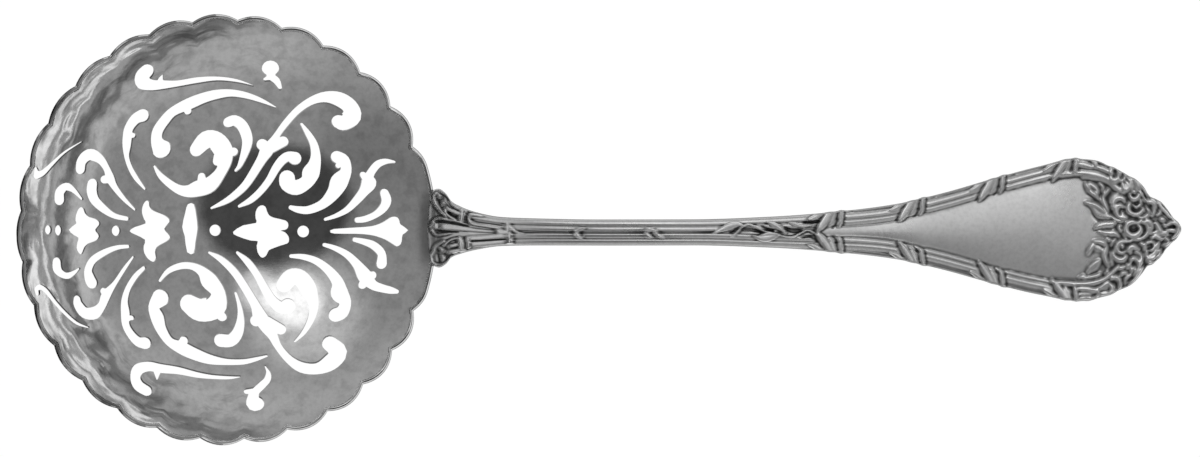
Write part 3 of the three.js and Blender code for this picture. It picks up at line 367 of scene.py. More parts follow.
LEAF_RELIEF = [
    # Two ties round the middle reeds of the stem
    (.4, -2.9,.1,.2, -3.6,-.1,.36, -4.3,-.6,.42, -4.2,-1.3,.4, -3.6,-1.8,.26),
    (.4, 8.8,-.25,.2, 9.6,-.05,.34, 10.4,-.5,.38, 11,-1.2,.34, 12,-1.8,.16),
    (.3, 9.2,-.5,.26, 9,-1.1,.34, 9.5,-1.75,.24),
    (.35, 21.8,-.8,.2, 23,-.3,.45, 24.5,.3,.7, 26,.75,.5, 27.2,.65,.15),
    (.35, 29.2,-1.3,.15, 30.5,-1.85,.55, 32,-1.8,.75, 33.4,-1.4,.5, 34.3,-1.2,.15),
    (.5, 30.6,-1.25,.15, 32.3,-.95,.38, 34.2,-1.1,.15),
    (.4, 32,1.2,.15, 33,.75,.5, 34,.25,.55, 34.9,-.4,.32, 35.3,-1.1,.12),
    (.3, 36.2,1.05,.15, 37.4,.8,.42, 38.6,.4,.32, 40.6,.7,.14),
    (.5, 25.2,-1.6,.13, 26.3,-.5,.18, 27.3,.45,.2, 28.4,.75,.2, 29.6,.35,.2, 31,-.4,.18,
     32.6,-.75,.14),
    (.5, 33.8,-1.2,.14, 35.2,-1.5,.18, 36.6,-1.6,.2, 38,-1,.2, 39.3,-.35,.2, 40.4,-.6,.2,
     41.3,-1.5,.18, 42,-2.6,.14),
]
LEAF_HOLLOWS = [
    (.35, -3.6,-.75,.2, -3.3,-1.3,.26), (.35, 9.9,-.95,.2, 10.2,-1.5,.22),
    (.4, 24.8,-.75,.2, 26,-.1,.3, 27,-.1,.4), (.4, 27.3,-.1,.45, 29,-.2,.45, 30.6,-.6,.3),
    (.45, 30.8,.5,.2, 31.8,-.1,.35, 33,-.3,.25), (.45, 35.2,.2,.25, 36.4,-.4,.5, 38.2,-.4,.35),
    (.4, 38.8,1.15,.3, 40.2,1.2,.35, 41.6,1.3,.35),
    (.4, 38.6,-1.7,.25, 40.2,-1.5,.35, 41.2,-2.4,.25),
]
TIP_RELIEF = [
    # Panel's end: leaves and petals
    (.05, 92.7,4.75,.15, 93.8,4,.7, 94.9,3.2,1.15, 96,2.6,.95, 96.9,2,.4),
    (.4, 92.6,5,.16, 93.6,4.8,.22, 94.6,4.45,.26, 95.4,3.9,.26, 96.1,3.3,.2),
    (0, 92.7,8.2,.25, 93.3,7.3,.5, 94.1,6.4,.6, 94.9,5.7,.45, 95.4,5.1,.2),
    (.4, 93.6,6.9,.2, 94.3,6.5,.4, 94.75,5.8,.22), (.4, 92.65,8.6,.18, 93,8,.24, 93.4,7.4,.16),
    (.05, 93.4,8.6,.22, 94,8.1,.4, 94.6,7.6,.35, 95,6.8,.25),
    (.2, 95.3,8.5,.18, 95.8,8.1,.24, 95.95,7.5,.22, 95.8,6.9,.15),
    (.35, 95.95,6.1,.16, 96.5,6.75,.22, 97.05,7.45,.16),
    (.1, 95.9,6,.2, 96.1,5,.4, 96.5,4.1,.4, 96.9,3.4,.22),
    (.45, 94.4,.1,.22, 95.3,.5,.55, 96.3,.75,.66, 97.3,.8,.58, 98.2,1,.3),
    (.15, 97.3,2.4,.16, 98.2,1.75,.2, 99.2,1.35,.24, 100.1,1.4,.2),
    (.4, 99.25,-.3,.28, 99.3,-.45,.28), (.1, 99.2,.5,.2, 98.9,.1,.2),
    (.1, 99.7,-.9,.16, 100,-1.4,.2, 100.4,-2,.2),
    (.1, 94.7,-.35,.12, 95.9,-.65,.36, 97.1,-1,.55, 98.2,-1,.5, 98.9,-1.5,.2),
    (.3, 98.1,-.75,.2, 98.6,-1.15,.26, 98.95,-1.6,.16),
    (.4, 94.2,-2.45,.16, 95.1,-2.5,.34, 96,-2.75,.45, 96.25,-3.1,.25),
    (0, 94.2,-2.9,.3, 94.6,-3.6,.6, 95.2,-3.9,.55, 95.6,-4.2,.25),
    (.35, 93.9,-3.2,.26, 93.5,-4,.42, 93.2,-4.6,.3, 92.9,-5,.12),
    (.3, 97,-2.15,.2, 97.35,-2.25,.2), (.25, 98.3,-2,.18, 97.9,-2.5,.2, 97.5,-3.2,.18),
    (.1, 96.7,-3.3,.22, 96.4,-4.3,.46, 96.2,-5.2,.5, 96.5,-6.2,.4, 97,-7.3,.2),
    (.05, 92.9,-8.8,.12, 93.6,-7.9,.45, 94.4,-7.2,.6, 95.1,-6.4,.4, 95.4,-6,.2),
    (.35, 93,-8.4,.16, 93.3,-7.6,.22, 94,-6.9,.24, 94.9,-6.2,.2),
    (.3, 96.4,-8.6,.18, 96.8,-8.1,.28), (.25, 91.2,-9.5,.12, 91.8,-9.3,.2, 92.4,-8.9,.16),
    (.2, 92.2,-9.55,.18, 93.6,-9.3,.24, 95,-8.95,.26, 95.4,-8.6,.2),
    # Border: inner reeds and the flat links along the edge
    (.3, 86,-10.1,.3, 90,-10.5,.4, 93,-10.5,.42, 95,-10.1,.4, 96.3,-9.6,.36, 97.3,-8.8,.34,
     98.3,-7.9,.3, 98.9,-7.2,.22),
    (.15, 86,9.9,.3, 90,10.45,.4, 92.5,10.55,.4, 94.5,10.2,.36, 96,9.85,.34, 97.1,9.3,.26),
    (.05, 92,9.85,.28, 95,9.5,.34, 97,8.95,.42, 98.2,8,.5, 99.3,7.2,.5, 99.9,6.9,.3),
    (.1, 91.3,12.3,.55, 92.6,12.05,.6, 93.5,11.75,.5),
    (.25, 94.1,12.7,.2, 94.6,12.3,.22, 94.5,11.7,.15),
    (.1, 95.4,11.5,.45, 96.3,11.2,.5, 96.9,10.8,.4),
    (.3, 91.2,-11.5,.3, 93.2,-11.55,.32, 94.4,-11.75,.3, 95.1,-12.3,.22, 94.8,-12.9,.2,
     94.1,-13.3,.2, 91.4,-13.5,.18), (.05, 91.4,-12.7,.4, 93.3,-12.65,.42),
    (.25, 95.2,-11.4,.28, 96.2,-10.8,.34, 97,-10.2,.24), (0, 95.8,-12.5,.35, 96.6,-12.4,.4),
    # Upper edge: coiled links and shell ribs
    (.35, 98,11.6,.22, 97.45,11.1,.34, 97.5,10.5,.42, 97.9,10.4,.2),
    (.3, 97.35,9.9,.25, 97.7,9.3,.5, 98.2,9.1,.62, 98.8,9.5,.46, 98.85,10.4,.34, 98.75,11.2,.28),
    (.3, 99.2,11,.3, 99.3,10.4,.32, 99.1,9.9,.2),
    (.3, 99.3,9.05,.25, 99.85,9.35,.3, 100.1,10.1,.3, 99.95,10.8,.2),
    (.25, 99.7,8.5,.3, 99.9,7.6,.42, 100.5,7.3,.38, 101,7.8,.32, 101.1,8.6,.28, 100.8,9.5,.26),
    (.1, 100.35,8.9,.24, 100.5,8.3,.32, 100.4,7.9,.25),
    (.15, 101.4,6.9,.2, 101.65,7.7,.28, 101.6,8.6,.28, 101.25,9.5,.2),
    (.3, 102,6.75,.28, 102.35,7.3,.3, 102.3,8.2,.26, 101.9,9,.2),
    (.35, 101.7,9.5,.22, 102.3,8.9,.3, 102.8,8.1,.32, 103,7.5,.22),
    (.05, 103.2,8.3,.28, 103.6,7.7,.32, 103.9,7.1,.25),
    (.4, 101.15,6.4,.28, 101.4,5.8,.42, 101.9,5.55,.48, 102.5,5.9,.42, 102.75,6.5,.25),
    (.25, 103,7,.28, 103.3,6.6,.36, 103.5,6.2,.22), (.1, 103.75,5.9,.25, 103.85,5.4,.28),
    (.05, 104.2,6.9,.34, 104.5,6.3,.36),
    # Upper left and right volutes
    (.1, 97.35,4.9,.2, 97.6,5.7,.26, 98.2,6.35,.24, 98.8,6.6,.18),
    (.4, 97.8,3.9,.3, 97.85,4.7,.42, 98.35,5.5,.46, 99.1,5.85,.5, 99.8,5.6,.46, 100,5.1,.25),
    (.3, 99.75,4.15,.3, 99.2,4.4,.38, 98.6,4.1,.5, 98.45,3.3,.55, 98.8,2.5,.45, 99.6,2,.35,
     100.4,1.9,.25), (.25, 99.75,3.1,.25, 99.6,2.75,.3, 99.9,2.35,.28, 100.5,2.15,.2),
    (.4, 101,4.75,.3, 100.75,4.1,.46, 100.8,3.4,.46, 101.4,2.85,.42, 102.3,2.65,.42, 103.1,3,.36,
     103.5,3.6,.25),
    (.3, 101.75,4.35,.2, 102.2,4.05,.26, 102.75,4.25,.26, 103.1,4.8,.26, 103.2,5.4,.2),
    (.25, 103.65,3.75,.26, 103.75,3.3,.2),
    (.3, 104.45,3.75,.3, 104.75,3.1,.3, 104.4,2.45,.3, 103.6,2.1,.28, 102.9,2.05,.2),
    (.4, 104.5,5.15,.36, 105.2,5.1,.5, 105.8,4.6,.46, 105.75,3.7,.36, 105.6,2.9,.3, 105.3,2.3,.22),
    (.15, 106.3,2.5,.2, 106.8,2.95,.26, 106.9,3.6,.2),
    (.25, 106.5,5,.24, 106.8,4.3,.3, 107.4,3.6,.32, 108.1,2.85,.3, 108.6,2.2,.26, 109.3,1.8,.22),
    # Middle: ring, crescent and the point's coil
    (.45, 102.2,1.1,.3, 101.5,1.25,.46, 100.7,.9,.52, 100.35,.1,.5, 100.5,-.7,.5, 101.2,-1.3,.52,
     102.1,-1.4,.55, 102.9,-.8,.5, 103.15,0,.4, 102.8,.45,.25),
    (.3, 102.6,.95,.25, 103.1,1.35,.32, 103.4,1.8,.2),
    (.3, 104.2,1.1,.4, 104.5,.3,.4, 104.5,-.6,.36, 104.1,-1.3,.34, 103.4,-1.85,.32, 102.6,-2.1,.3,
     101.6,-2.1,.3), (.45, 103.6,.95,.2, 104.2,1.4,.4, 104.8,1.3,.46, 105.25,.6,.34, 105.3,0,.2),
    (.05, 105,-.1,.34, 105.1,-.9,.34), (.2, 106,1,.34, 106.4,.4,.48, 106.8,-.4,.5),
    (.05, 106,-.9,.5, 107.2,-.9,.6, 108.2,-1.1,.4), (.15, 107.2,1.7,.5, 107.4,1.6,.5),
    (.4, 107.7,.65,.34, 107.8,.5,.34), (.1, 108.2,-.3,.25, 108.1,-.9,.25),
    (.4, 108.4,.75,.3, 109.1,1.15,.38, 109.9,1,.42, 110.3,.2,.4, 110.25,-.6,.36, 109.8,-1.3,.32,
     109.2,-1.8,.25), (.15, 108.7,-.35,.36, 109.4,-.4,.44, 109.7,-.1,.25),
    # Lower right: lobes and hooks
    (.15, 105.3,-1.8,.28, 105.9,-1.5,.36, 106.6,-1.8,.34, 107.2,-2.05,.3),
    (.3, 107.8,-1.75,.16, 108.05,-2,.24, 108.4,-2.3,.24, 108.6,-2.7,.2),
    (.35, 108.6,-2.7,.24, 107.9,-3.1,.3, 107.5,-3.1,.22),
    (.3, 104.3,-2.75,.3, 104.8,-2.6,.3, 105.3,-2.55,.28, 105.65,-3,.3, 105.6,-3.7,.32,
     105.1,-4.2,.3),
    (.15, 106.5,-2.8,.3, 106.2,-3.6,.42, 106.1,-4.4,.46, 105.6,-5,.46, 105,-5.2,.36),
    (.3, 104.35,-4.3,.26, 104.15,-5,.3, 104.5,-5.6,.36, 105.2,-5.75,.36, 105.9,-5.4,.3),
    (.35, 104.3,-6.05,.22, 104.9,-6.4,.28, 105.5,-6.45,.26),
    (.1, 106.8,-4.2,.3, 106.75,-5,.3, 106.3,-5.7,.28),
    (.1, 103.3,-2.9,.3, 103.8,-3.3,.38, 103.9,-3.9,.34),
    (.4, 100.7,-4.2,.36, 101.1,-3.7,.55, 101.7,-3.5,.55, 102.3,-3.8,.36, 102.8,-4.05,.2),
    (.25, 101.2,-4.6,.3, 101.1,-4.3,.3),
    (.25, 102.1,-4.5,.22, 102.7,-4.7,.28, 103.2,-5.2,.28, 103.35,-6,.28, 103.2,-6.8,.22),
    (.35, 101.2,-6.8,.26, 101.35,-6,.34, 101.9,-5.65,.34, 102.5,-6.1,.36, 102.85,-6.9,.34,
     102.7,-7.8,.3, 102.3,-8.6,.25), (.1, 101.9,-7.5,.26, 102.15,-8.2,.3, 101.9,-8.9,.28),
    (.2, 100.5,-7.6,.25, 100.7,-7,.36, 101.2,-7.5,.34, 101.4,-8.3,.28),
    (.35, 103.4,-7.5,.22, 102.75,-8.6,.26, 101.9,-9.75,.26, 101,-10.6,.22),
    (.1, 100.3,-9.6,.3, 100.7,-9.1,.3, 101.2,-8.9,.22),
    # Lower left: the third volute and the links below it
    (.45, 101.3,-2.35,.24, 100.5,-2.5,.3, 99.7,-2.45,.34, 98.95,-2.8,.42, 98.55,-3.6,.48,
     98.85,-4.35,.42, 99.6,-4.65,.34, 100.05,-4.4,.2), (.5, 99.65,-3.3,.3, 99.7,-3.6,.3),
    (.25, 98,-4.2,.22, 97.95,-4.9,.32, 98.35,-5.6,.42, 99.1,-6,.46, 99.9,-5.9,.46, 100.3,-5.3,.3),
    (.05, 97.5,-4.6,.2, 97.5,-5.8,.3, 97.6,-6.8,.25),
    (.15, 97.1,-10.6,.28, 97.7,-11.1,.42, 97.6,-11.9,.38, 97,-12.4,.3),
    (.35, 97.5,-9.55,.28, 98.2,-9.3,.42, 98.9,-9.7,.42, 99.2,-10.5,.36, 99.1,-11.2,.25),
    (.15, 100.05,-9.7,.2, 100.15,-10.4,.24), (.2, 99.1,-11.3,.22, 98.2,-12,.24, 97.2,-12.6,.22),
    (.2, 99.4,-8.9,.28, 99.7,-8.5,.36, 100.3,-8.5,.3), (.1, 99.2,-7.6,.32, 99.8,-7.4,.34),
]
TIP_PITS = [
    (.35, 101.15,.2,.3, 101.5,-.3,.34, 102,-.3,.3, 102.5,.1,.25),
    (.35, 98.35,11.2,.2, 98.4,10.5,.24, 97.9,10,.22),
    (.35, 99.6,10.8,.2, 99.75,10.2,.26, 99.4,9.6,.2),
    (.35, 101.5,6.4,.26, 102,6.3,.24, 102.6,6.9,.18),
    (.35, 101.45,4.4,.2, 101.7,3.65,.22, 102.3,3.45,.2, 103,3.9,.2),
    (.35, 102.1,4.75,.25, 102.7,4.9,.3),
    (.35, 99.15,2.6,.18, 99.25,3.25,.2, 99.75,3.6,.22, 100.2,3.1,.22),
    (.35, 101.7,-6.65,.3, 101.75,-6.8,.3),
    (.35, 99.35,-4,.2, 99.8,-4,.2, 100.3,-3.6,.22, 100.6,-3.1,.2, 101.4,-2.8,.18),
    (.35, 105.35,-3,.2, 105.3,-3.5,.22, 104.8,-3.8,.2),
    (.35, 97.9,-10.3,.18, 98.5,-10.8,.2, 98.65,-11.6,.2, 98.2,-12.2,.18),
    (.35, 108.9,.25,.2, 109.5,.35,.25, 109.8,-.1,.15), (.35, 108.7,-.95,.22, 108.8,-1,.22),
    (.35, 103.85,.3,.16, 103.95,-.5,.2, 103.5,-1.2,.18), (.35, 99.75,-9.8,.2, 99.85,-10.5,.22),
    (.3, 92.8,4.55,.12, 93.6,3.6,.2, 94.1,2.6,.22, 94.9,1.75,.24, 96,1.55,.24, 97.2,1.6,.2),
    (.3, 94.4,-.35,.14, 95.8,-.2,.2, 97.4,-.15,.2), (.3, 93,6.7,.14, 94,6,.22, 95.2,5.15,.24),
    (.3, 96.8,-1.35,.18, 97.7,-1.8,.22, 98.6,-1.8,.18),
]
# Where the end's ground begins: rows of y and x
TIP_GROUND = (
    -14,96.6, -11,96.8, -9.5,97, -8.6,95.4, -7.5,94.6, -6,95.2, -5,95.5, -4,95.8, -2,97.5, 0,98,
    2.3,96.5, 4.5,96.5, 5.5,95.5, 6.5,95, 8,95.5, 9.5,96.8, 11.3,97.2, 14,97.4,
)
# Ribbon round the reeded edges: where each turn starts, its folds as x from there, inset and half
# width, and the swell of the edge at its knots as rise, place and width
TURNS = [41.0, 56.6, 71.9, 85.9]
RIBBON_RELIEF = [
    (.2, -1.3,1,.2, -.3,.8,.5, .8,.3,.6, 1.6,-.3,.5),
    (.15, 2.7,2.7,.25, 3.3,1.7,.42, 3.9,.3,.4, 4.1,-.3,.3),
    (.35, .5,3.3,.3, 1.2,2.4,.8, 2.2,1.2,.95, 3.2,-.4,.75),
    (.4, 4.5,3.1,.2, 4.75,2.2,.46, 4.85,1.1,.55, 4.9,-.4,.42),
]
RIBBON_HOLLOWS = [
    (.3, -.2,3.1,.22, .4,2.1,.24, 1.1,1,.22, 2,.1,.2),
    (.3, 3.3,3.1,.24, 4,2.2,.26, 4.3,1,.24, 4.4,-.2,.22),
    (.3, 5.35,2.9,.18, 5.5,1.5,.2, 5.55,-.2,.26, 6.2,.1,.24, 7.2,.25,.18),
]
KNOTS = [(.22, 4.9, .8), (.12, 2.8, .9)]


def table(numbers, size):
    """Rows of that many numbers from a flat table."""
    return np.array(numbers, float).reshape(-1, size)


def catmull(points, steps):
    """A smooth curve through points, each a row of any length."""
    p = np.array([points[0], *points, points[-1]], float)
    t = np.linspace(0, 1, steps, endpoint=False)[:, None]
    a, b, c, d = p[:-3, None], p[1:-2, None], p[2:-1, None], p[3:, None]
    run = 0.5 * (
        2 * b + (c - a) * t + (2 * a - 5 * b + 4 * c - d) * t**2 + (3 * b - a - 3 * c + d) * t**3
    )
    return np.vstack([run.reshape(-1, p.shape[1]), p[-1:]])


def smooth_spine(numbers, steps):
    """A stroke's spine, smooth where it has more than two points."""
    s = table(numbers, 3)
    return catmull(s, steps) if len(s) > 2 else s


def curve(numbers, x):
    """A smooth curve through a table of x and value, flat past its ends."""
    at, value = table(numbers, 2).T
    slope = np.diff(value) / np.diff(at)
    tangent = np.zeros(len(at))
    both = slope[:-1] * slope[1:] > 0
    w0, w1 = np.diff(at)[:-1], np.diff(at)[1:]
    mean = (w0 + w1) / (w0 / np.where(both, slope[1:], 1) + w1 / np.where(both, slope[:-1], 1))
    tangent[1:-1] = np.where(both, mean, 0)
    tangent[0], tangent[-1] = slope[0], slope[-1]
    x = np.clip(x, at[0], at[-1])
    i = np.clip(np.searchsorted(at, x, "right") - 1, 0, len(at) - 2)
    width = at[i + 1] - at[i]
    t = (x - at[i]) / width
    h00, h10 = (1 + 2 * t) * (1 - t) ** 2, t * (1 - t) ** 2
    h01, h11 = t * t * (3 - 2 * t), t * t * (t - 1)
    start = h00 * value[i] + h10 * width * tangent[i]
    return start + h01 * value[i + 1] + h11 * width * tangent[i + 1]


def smoothstep(low, high, x):
    t = np.clip((x - low) / (high - low), 0, 1)
    return t * t * (3 - 2 * t)


# ---- The bowl
def stroke_outline(numbers):
    """Both sides of a stroke and a round cap at each end, anticlockwise or clockwise."""
    s = smooth_spine(numbers, SPINE_STEPS)
    xy, half = s[:, :2], np.maximum(s[:, 2:], LEAST_HALF)
    run = np.gradient(xy, axis=0)
    run /= np.linalg.norm(run, axis=1)[:, None]
    side = np.stack([-run[:, 1], run[:, 0]], 1)
    turn = np.linspace(0, math.pi, CAP_STEPS + 1)[1:-1, None]
    first = xy[0] + half[0] * (-side[0] * np.cos(turn) - run[0] * np.sin(turn))
    last = xy[-1] + half[-1] * (side[-1] * np.cos(turn) + run[-1] * np.sin(turn))
    return np.vstack([first, xy + side * half, last, (xy - side * half)[::-1]])


def closed_outline(numbers):
    """A closed outline with its corners a little softened and a point between each two."""
    p = table(numbers, 2)
    q = (1 - 2 * CORNER_SOFT) * p + CORNER_SOFT * (np.roll(p, 1, 0) + np.roll(p, -1, 0))
    before, after, later = np.roll(q, 1, 0), np.roll(q, -1, 0), np.roll(q, -2, 0)
    return np.stack([q, (9 * (q + after) - before - later) / 16], 1).reshape(-1, 2)


def dot_outline(x, y, half_x, half_y):
    turn = np.linspace(0, 2 * math.pi, DOT_STEPS, endpoint=False)
    return np.stack([x + half_x * np.cos(turn), y + half_y * np.sin(turn)], 1)


def anticlockwise(outline):
    x, y = outline.T
    area = np.sum(x * np.roll(y, -1) - y * np.roll(x, -1))
    return outline if area > 0 else outline[::-1]


def rim_edge(angle):
    """Share across the lobe and its rise at an angle, and the rim's radius there."""
    turned = np.mod(np.degrees(angle) - SEAM, 360) + SEAM - 360
    length = np.where(turned > 0, SEAM, 360 - SEAM) - FIRST_NOTCH
    lobe = (np.abs(turned) - FIRST_NOTCH) / (length / SIDE_LOBES)
    across = np.where(lobe < -.5, 0, 2 * np.mod(lobe, 1.0) - 1)
    rise = (LOBE_RISE + LOBE_LEAN * np.cos(angle)) * (1 - across**2)
    notch = NOTCH_RADIUS + NOTCH_SWELL * np.sin(angle) ** 2 - NOTCH_DROP * np.sin(angle)
    return across, rise, notch + rise


def rim_terms(x, y):
    """Angle in the rim's own circle, the share across the lobe there, and the inset."""
    u = (x - BOWL_X) / math.cos(RIM_TILT)
    angle = np.arctan2(y, u)
    across, _, edge = rim_edge(angle)
    return angle, across, edge - np.hypot(u, y)


def bowl_raise(x, y, outside):
    """How far the sheet's face is raised towards the dish's centre."""
    angle, across, inset = rim_terms(x, y)
    fade = np.clip(1 - inset / FLUTE_LENGTH, 0, 1) ** 2
    flute = FLUTE_RISE * fade * (across**2 - FLUTE_MEAN)
    if outside:
        return flute
    q = np.clip((inset - BEAD_WIDTH / 2) / (BEAD_WIDTH / 2), -1, 1)
    share = smoothstep(*WAVES_BEGIN, inset) * smoothstep(*WAVES_END, inset)
    share = share * smoothstep(*WAVES_SIDE, np.cos(angle))
    share = share * (1 - LULL * smoothstep(*WAVES_LULL, np.cos(angle)))
    waves = sum(
        np.sin(2 * math.pi * inset / pitch + turns * angle) * np.cos(beat * angle) * pitch
        for pitch, turns, beat in WAVES
    )
    return flute + BEAD_RISE * (1 - q**2) + WAVE_RISE * share * waves


def bowl_point(x, y, outside=False):
    """Points of the inner or outer face over plan points of the inner face."""
    reach2 = (x - DISH_X) ** 2 + y**2
    down = np.sqrt(DISH_RADIUS**2 - reach2)
    thinned = RIM_THINNING * smoothstep(*THINNING_REACH, np.sqrt(reach2))
    radius = (OUTER_RADIUS - thinned if outside else DISH_RADIUS) - bowl_raise(x, y, outside)
    share = radius / DISH_RADIUS
    return np.stack([DISH_X + (x - DISH_X) * share, y * share, DISH_Z - down * share], -1)


def bowl_normal(x, y, outside=False):
    step = NORMAL_STEP
    a = bowl_point(x + step, y, outside) - bowl_point(x - step, y, outside)
    b = bowl_point(x, y + step, outside) - bowl_point(x, y - step, outside)
    n = np.cross(a, b)
    n /= np.linalg.norm(n, axis=-1)[..., None]
    return -n if outside else n


def plan_ring(inset):
    """Plan of the rim, or of a line inside it where the lobes fade, with a point at each notch."""
    lobes = np.arange(LOBES_FROM, SIDE_LOBES, 1 / RIM_STEPS)
    upper = FIRST_NOTCH + lobes * (SEAM - FIRST_NOTCH) / SIDE_LOBES
    lower = FIRST_NOTCH + lobes * (360 - SEAM - FIRST_NOTCH) / SIDE_LOBES
    turn = np.radians(np.concatenate([[0], upper, [SEAM], -lower[::-1]]))
    _, rise, edge = rim_edge(turn)
    r = edge - rise * min(1, inset / LOBES_FADE) - inset
    return np.stack([BOWL_X + r * np.cos(turn) * math.cos(RIM_TILT), r * np.sin(turn)], 1)


def new_mesh(name, points, faces, normals=None):
    """A mesh object from millimetre points, smooth, with its corners' normals where given."""
    mesh = bpy.data.meshes.new(name)
    mesh.from_pydata((np.asarray(points) * MM).tolist(), [], faces)
    mesh.polygons.foreach_set("use_smooth", [True] * len(mesh.polygons))
    mesh.update()
    if normals is not None:
        mesh.normals_split_custom_set(normals)
    piece = bpy.data.objects.new(name, mesh)
    bpy.context.collection.objects.link(piece)
    return piece


def keep_marks(piece, name, values, domain="POINT"):
    """Stores a number, or a row of three, for each point or face corner, for the material."""
    values = np.asarray(values, np.float32)
    kind, key = ("FLOAT_VECTOR", "vector") if values.ndim == 2 else ("FLOAT", "value")
    marks = piece.data.attributes.new(name, kind, domain)
    marks.data.foreach_set(key, values.reshape(-1))


def largest_sheet(triangles):
    """The triangles joined by their edges to the most others, without loose islands."""
    edges = [[frozenset(pair) for pair in ((a, b), (b, c), (c, a))] for a, b, c in triangles]
    beside = {}
    for i, around in enumerate(edges):
        for edge in around:
            beside.setdefault(edge, []).append(i)
    sheets, left = [], set(range(len(triangles)))
    while left:
        sheet = [left.pop()]
        for i in sheet:
            new = {k for edge in edges[i] for k in beside[edge]} & left
            left -= new
            sheet += new
        sheets.append(sheet)
    return [triangles[i] for i in sorted(max(sheets, key=len))]


def bowl_plan():
    """Plan points of the pierced sheet and its triangles."""
    outlines = [stroke_outline(s) for s in STROKES] + [closed_outline(o) for o in OUTLINES]
    outlines += [dot_outline(*d) for d in DOTS]
    for outline in outlines:
        outline[:, 0] += BOWL_X
    points, faces = [], []
    for loop in [plan_ring(0)] + [anticlockwise(o) for o in outlines]:
        faces.append(list(range(len(points), len(points) + len(loop))))
        points += loop.tolist()
    ring_edges = []
    for inset in RIM_INSETS:
        ring = plan_ring(inset).tolist()
        first = len(points)
        ring_edges += [(first + i, first + (i + 1) % len(ring)) for i in range(len(ring))]
        points += ring
    reach = NOTCH_RADIUS - RIM_INSETS[-1] - GRID_GAP
    for k, row in enumerate(np.arange(-reach, reach, GRID * ROW_SHARE)):
        line = np.arange(-reach, reach, GRID) + (k % 2) * GRID / 2
        keep = np.hypot(line, row) < reach
        points += [(BOWL_X + x * math.cos(RIM_TILT), row) for x in line[keep]]
    plan, _, triangles, _, _, origin = delaunay_2d_cdt(points, ring_edges, faces, 1, WELD)
    kept = largest_sheet([tuple(f) for f, o in zip(triangles, origin) if list(o) == [0]])
    return np.array([tuple(p) for p in plan]).T, kept


def make_bowl():
    (x, y), top = bowl_plan()
    count = len(x)
    bottom = [(c + count, b + count, a + count) for a, b, c in top]
    edges = {(f[i], f[(i + 1) % 3]) for f in top for i in range(3)}
    border = sorted((a, b) for a, b in edges if (b, a) not in edges)
    walls = [(a, a + count, b + count, b) for a, b in border]
    points = np.vstack([bowl_point(x, y), bowl_point(x, y, True)])
    face_n = np.vstack([bowl_normal(x, y), bowl_normal(x, y, True)])
    wall_n = np.zeros((2 * count, 3))
    for a, a_low, b_low, b in walls:
        n = np.cross(points[a_low] - points[a], points[b] - points[a])
        n /= np.linalg.norm(n) + 1e-12
        for v in (a, a_low, b, b_low):
            wall_n[v] += n
    wall_n /= np.linalg.norm(wall_n, axis=1)[:, None] + 1e-12
    normals = [tuple(face_n[v]) for f in top + bottom for v in f]
    normals += [tuple(wall_n[v]) for f in walls for v in f]
    used = sorted({v for f in top + bottom + walls for v in f})
    renumber = {v: i for i, v in enumerate(used)}
    faces = [tuple(renumber[v] for v in f) for f in top + bottom + walls]
    piece = new_mesh("bowl_sheet", points[used], faces, normals)

    # Painted dark reflection of the handle's lap on the bowl; the outer face is darker all over
    past_lap = x - LAP_X - LAP_BEND * y**2
    lap_reflection = LAP_REFLECTION_DARK * smoothstep(*LAP_REFLECTION_X, past_lap) * smoothstep(*LAP_REFLECTION_Y, np.abs(y))
    face_darkening = np.concatenate([lap_reflection, np.full(count, OUTSIDE_DARK)])
    patina_and_shade = [face_darkening[v] for f in top + bottom for v in f]
    inset = rim_terms(x, y)[2]
    # Painted shade on the walls at the rim's edge and in the piercings
    for a, _, _, b in walls:
        patina_and_shade += [0, RIM_WALL_SHADE, RIM_WALL_SHADE, 0] if inset[a] < EDGE_INSET else [HOLE_WALL_SHADE] * 4
    keep_marks(piece, "patina_and_shade", patina_and_shade, "CORNER")

    angle, _, inset = rim_terms(*points[used, :2].T)
    cos, sin = np.cos(angle), np.sin(angle)
    drift = inset + STREAK_DRIFT * np.abs(sin)
    keep_marks(piece, "rim_place", np.stack([NOTCH_RADIUS * cos, NOTCH_RADIUS * sin, drift], 1))
    # Painted streaks of dark reflection round the far rim, cleared in a ring, and painted shade
    # along the far rim's edge
    shade = sum(gain * smoothstep(*insets, inset) for gain, *insets in STREAK_BANDS)
    ring = smoothstep(*CLEAR_BEGINS, inset) * smoothstep(*CLEAR_ENDS, inset)
    shade = smoothstep(*STREAK_SIDE, cos) * shade
    shade = shade * (1 - CLEARED * ring * smoothstep(*CLEAR_SIDE, cos))
    far_edge_shade = FAR_EDGE_SHADE * smoothstep(*FAR_EDGE_SIDE, cos) * smoothstep(*FAR_EDGE_ENDS, inset)
    keep_marks(piece, "rim_tone", np.stack([shade, far_edge_shade, np.zeros_like(far_edge_shade)], 1))
    return piece


# ---- The handle
def stroke_share(x, y, numbers):
    """For each point its distance from the spine as a share of the half width there."""
    s = smooth_spine(numbers, RELIEF_STEPS)
    best = np.full(x.shape, 9.0)
    reach = s[:, 2].max() + STROKE_MARGIN
    rows = np.where((x[:, 0] > s[:, 0].min() - reach) & (x[:, 0] < s[:, 0].max() + reach))[0]
    if not len(rows):
        return best
    rows = slice(rows[0], rows[-1] + 1)
    px, py = x[rows], y[rows]
    for (ax, ay, ah), (bx, by, bh) in zip(s[:-1], s[1:]):
        dx, dy = bx - ax, by - ay
        t = np.clip(((px - ax) * dx + (py - ay) * dy) / (dx * dx + dy * dy + 1e-9), 0, 1)
        q = np.hypot(px - ax - t * dx, py - ay - t * dy) / (ah + t * (bh - ah))
        best[rows] = np.minimum(best[rows], q)
    return best


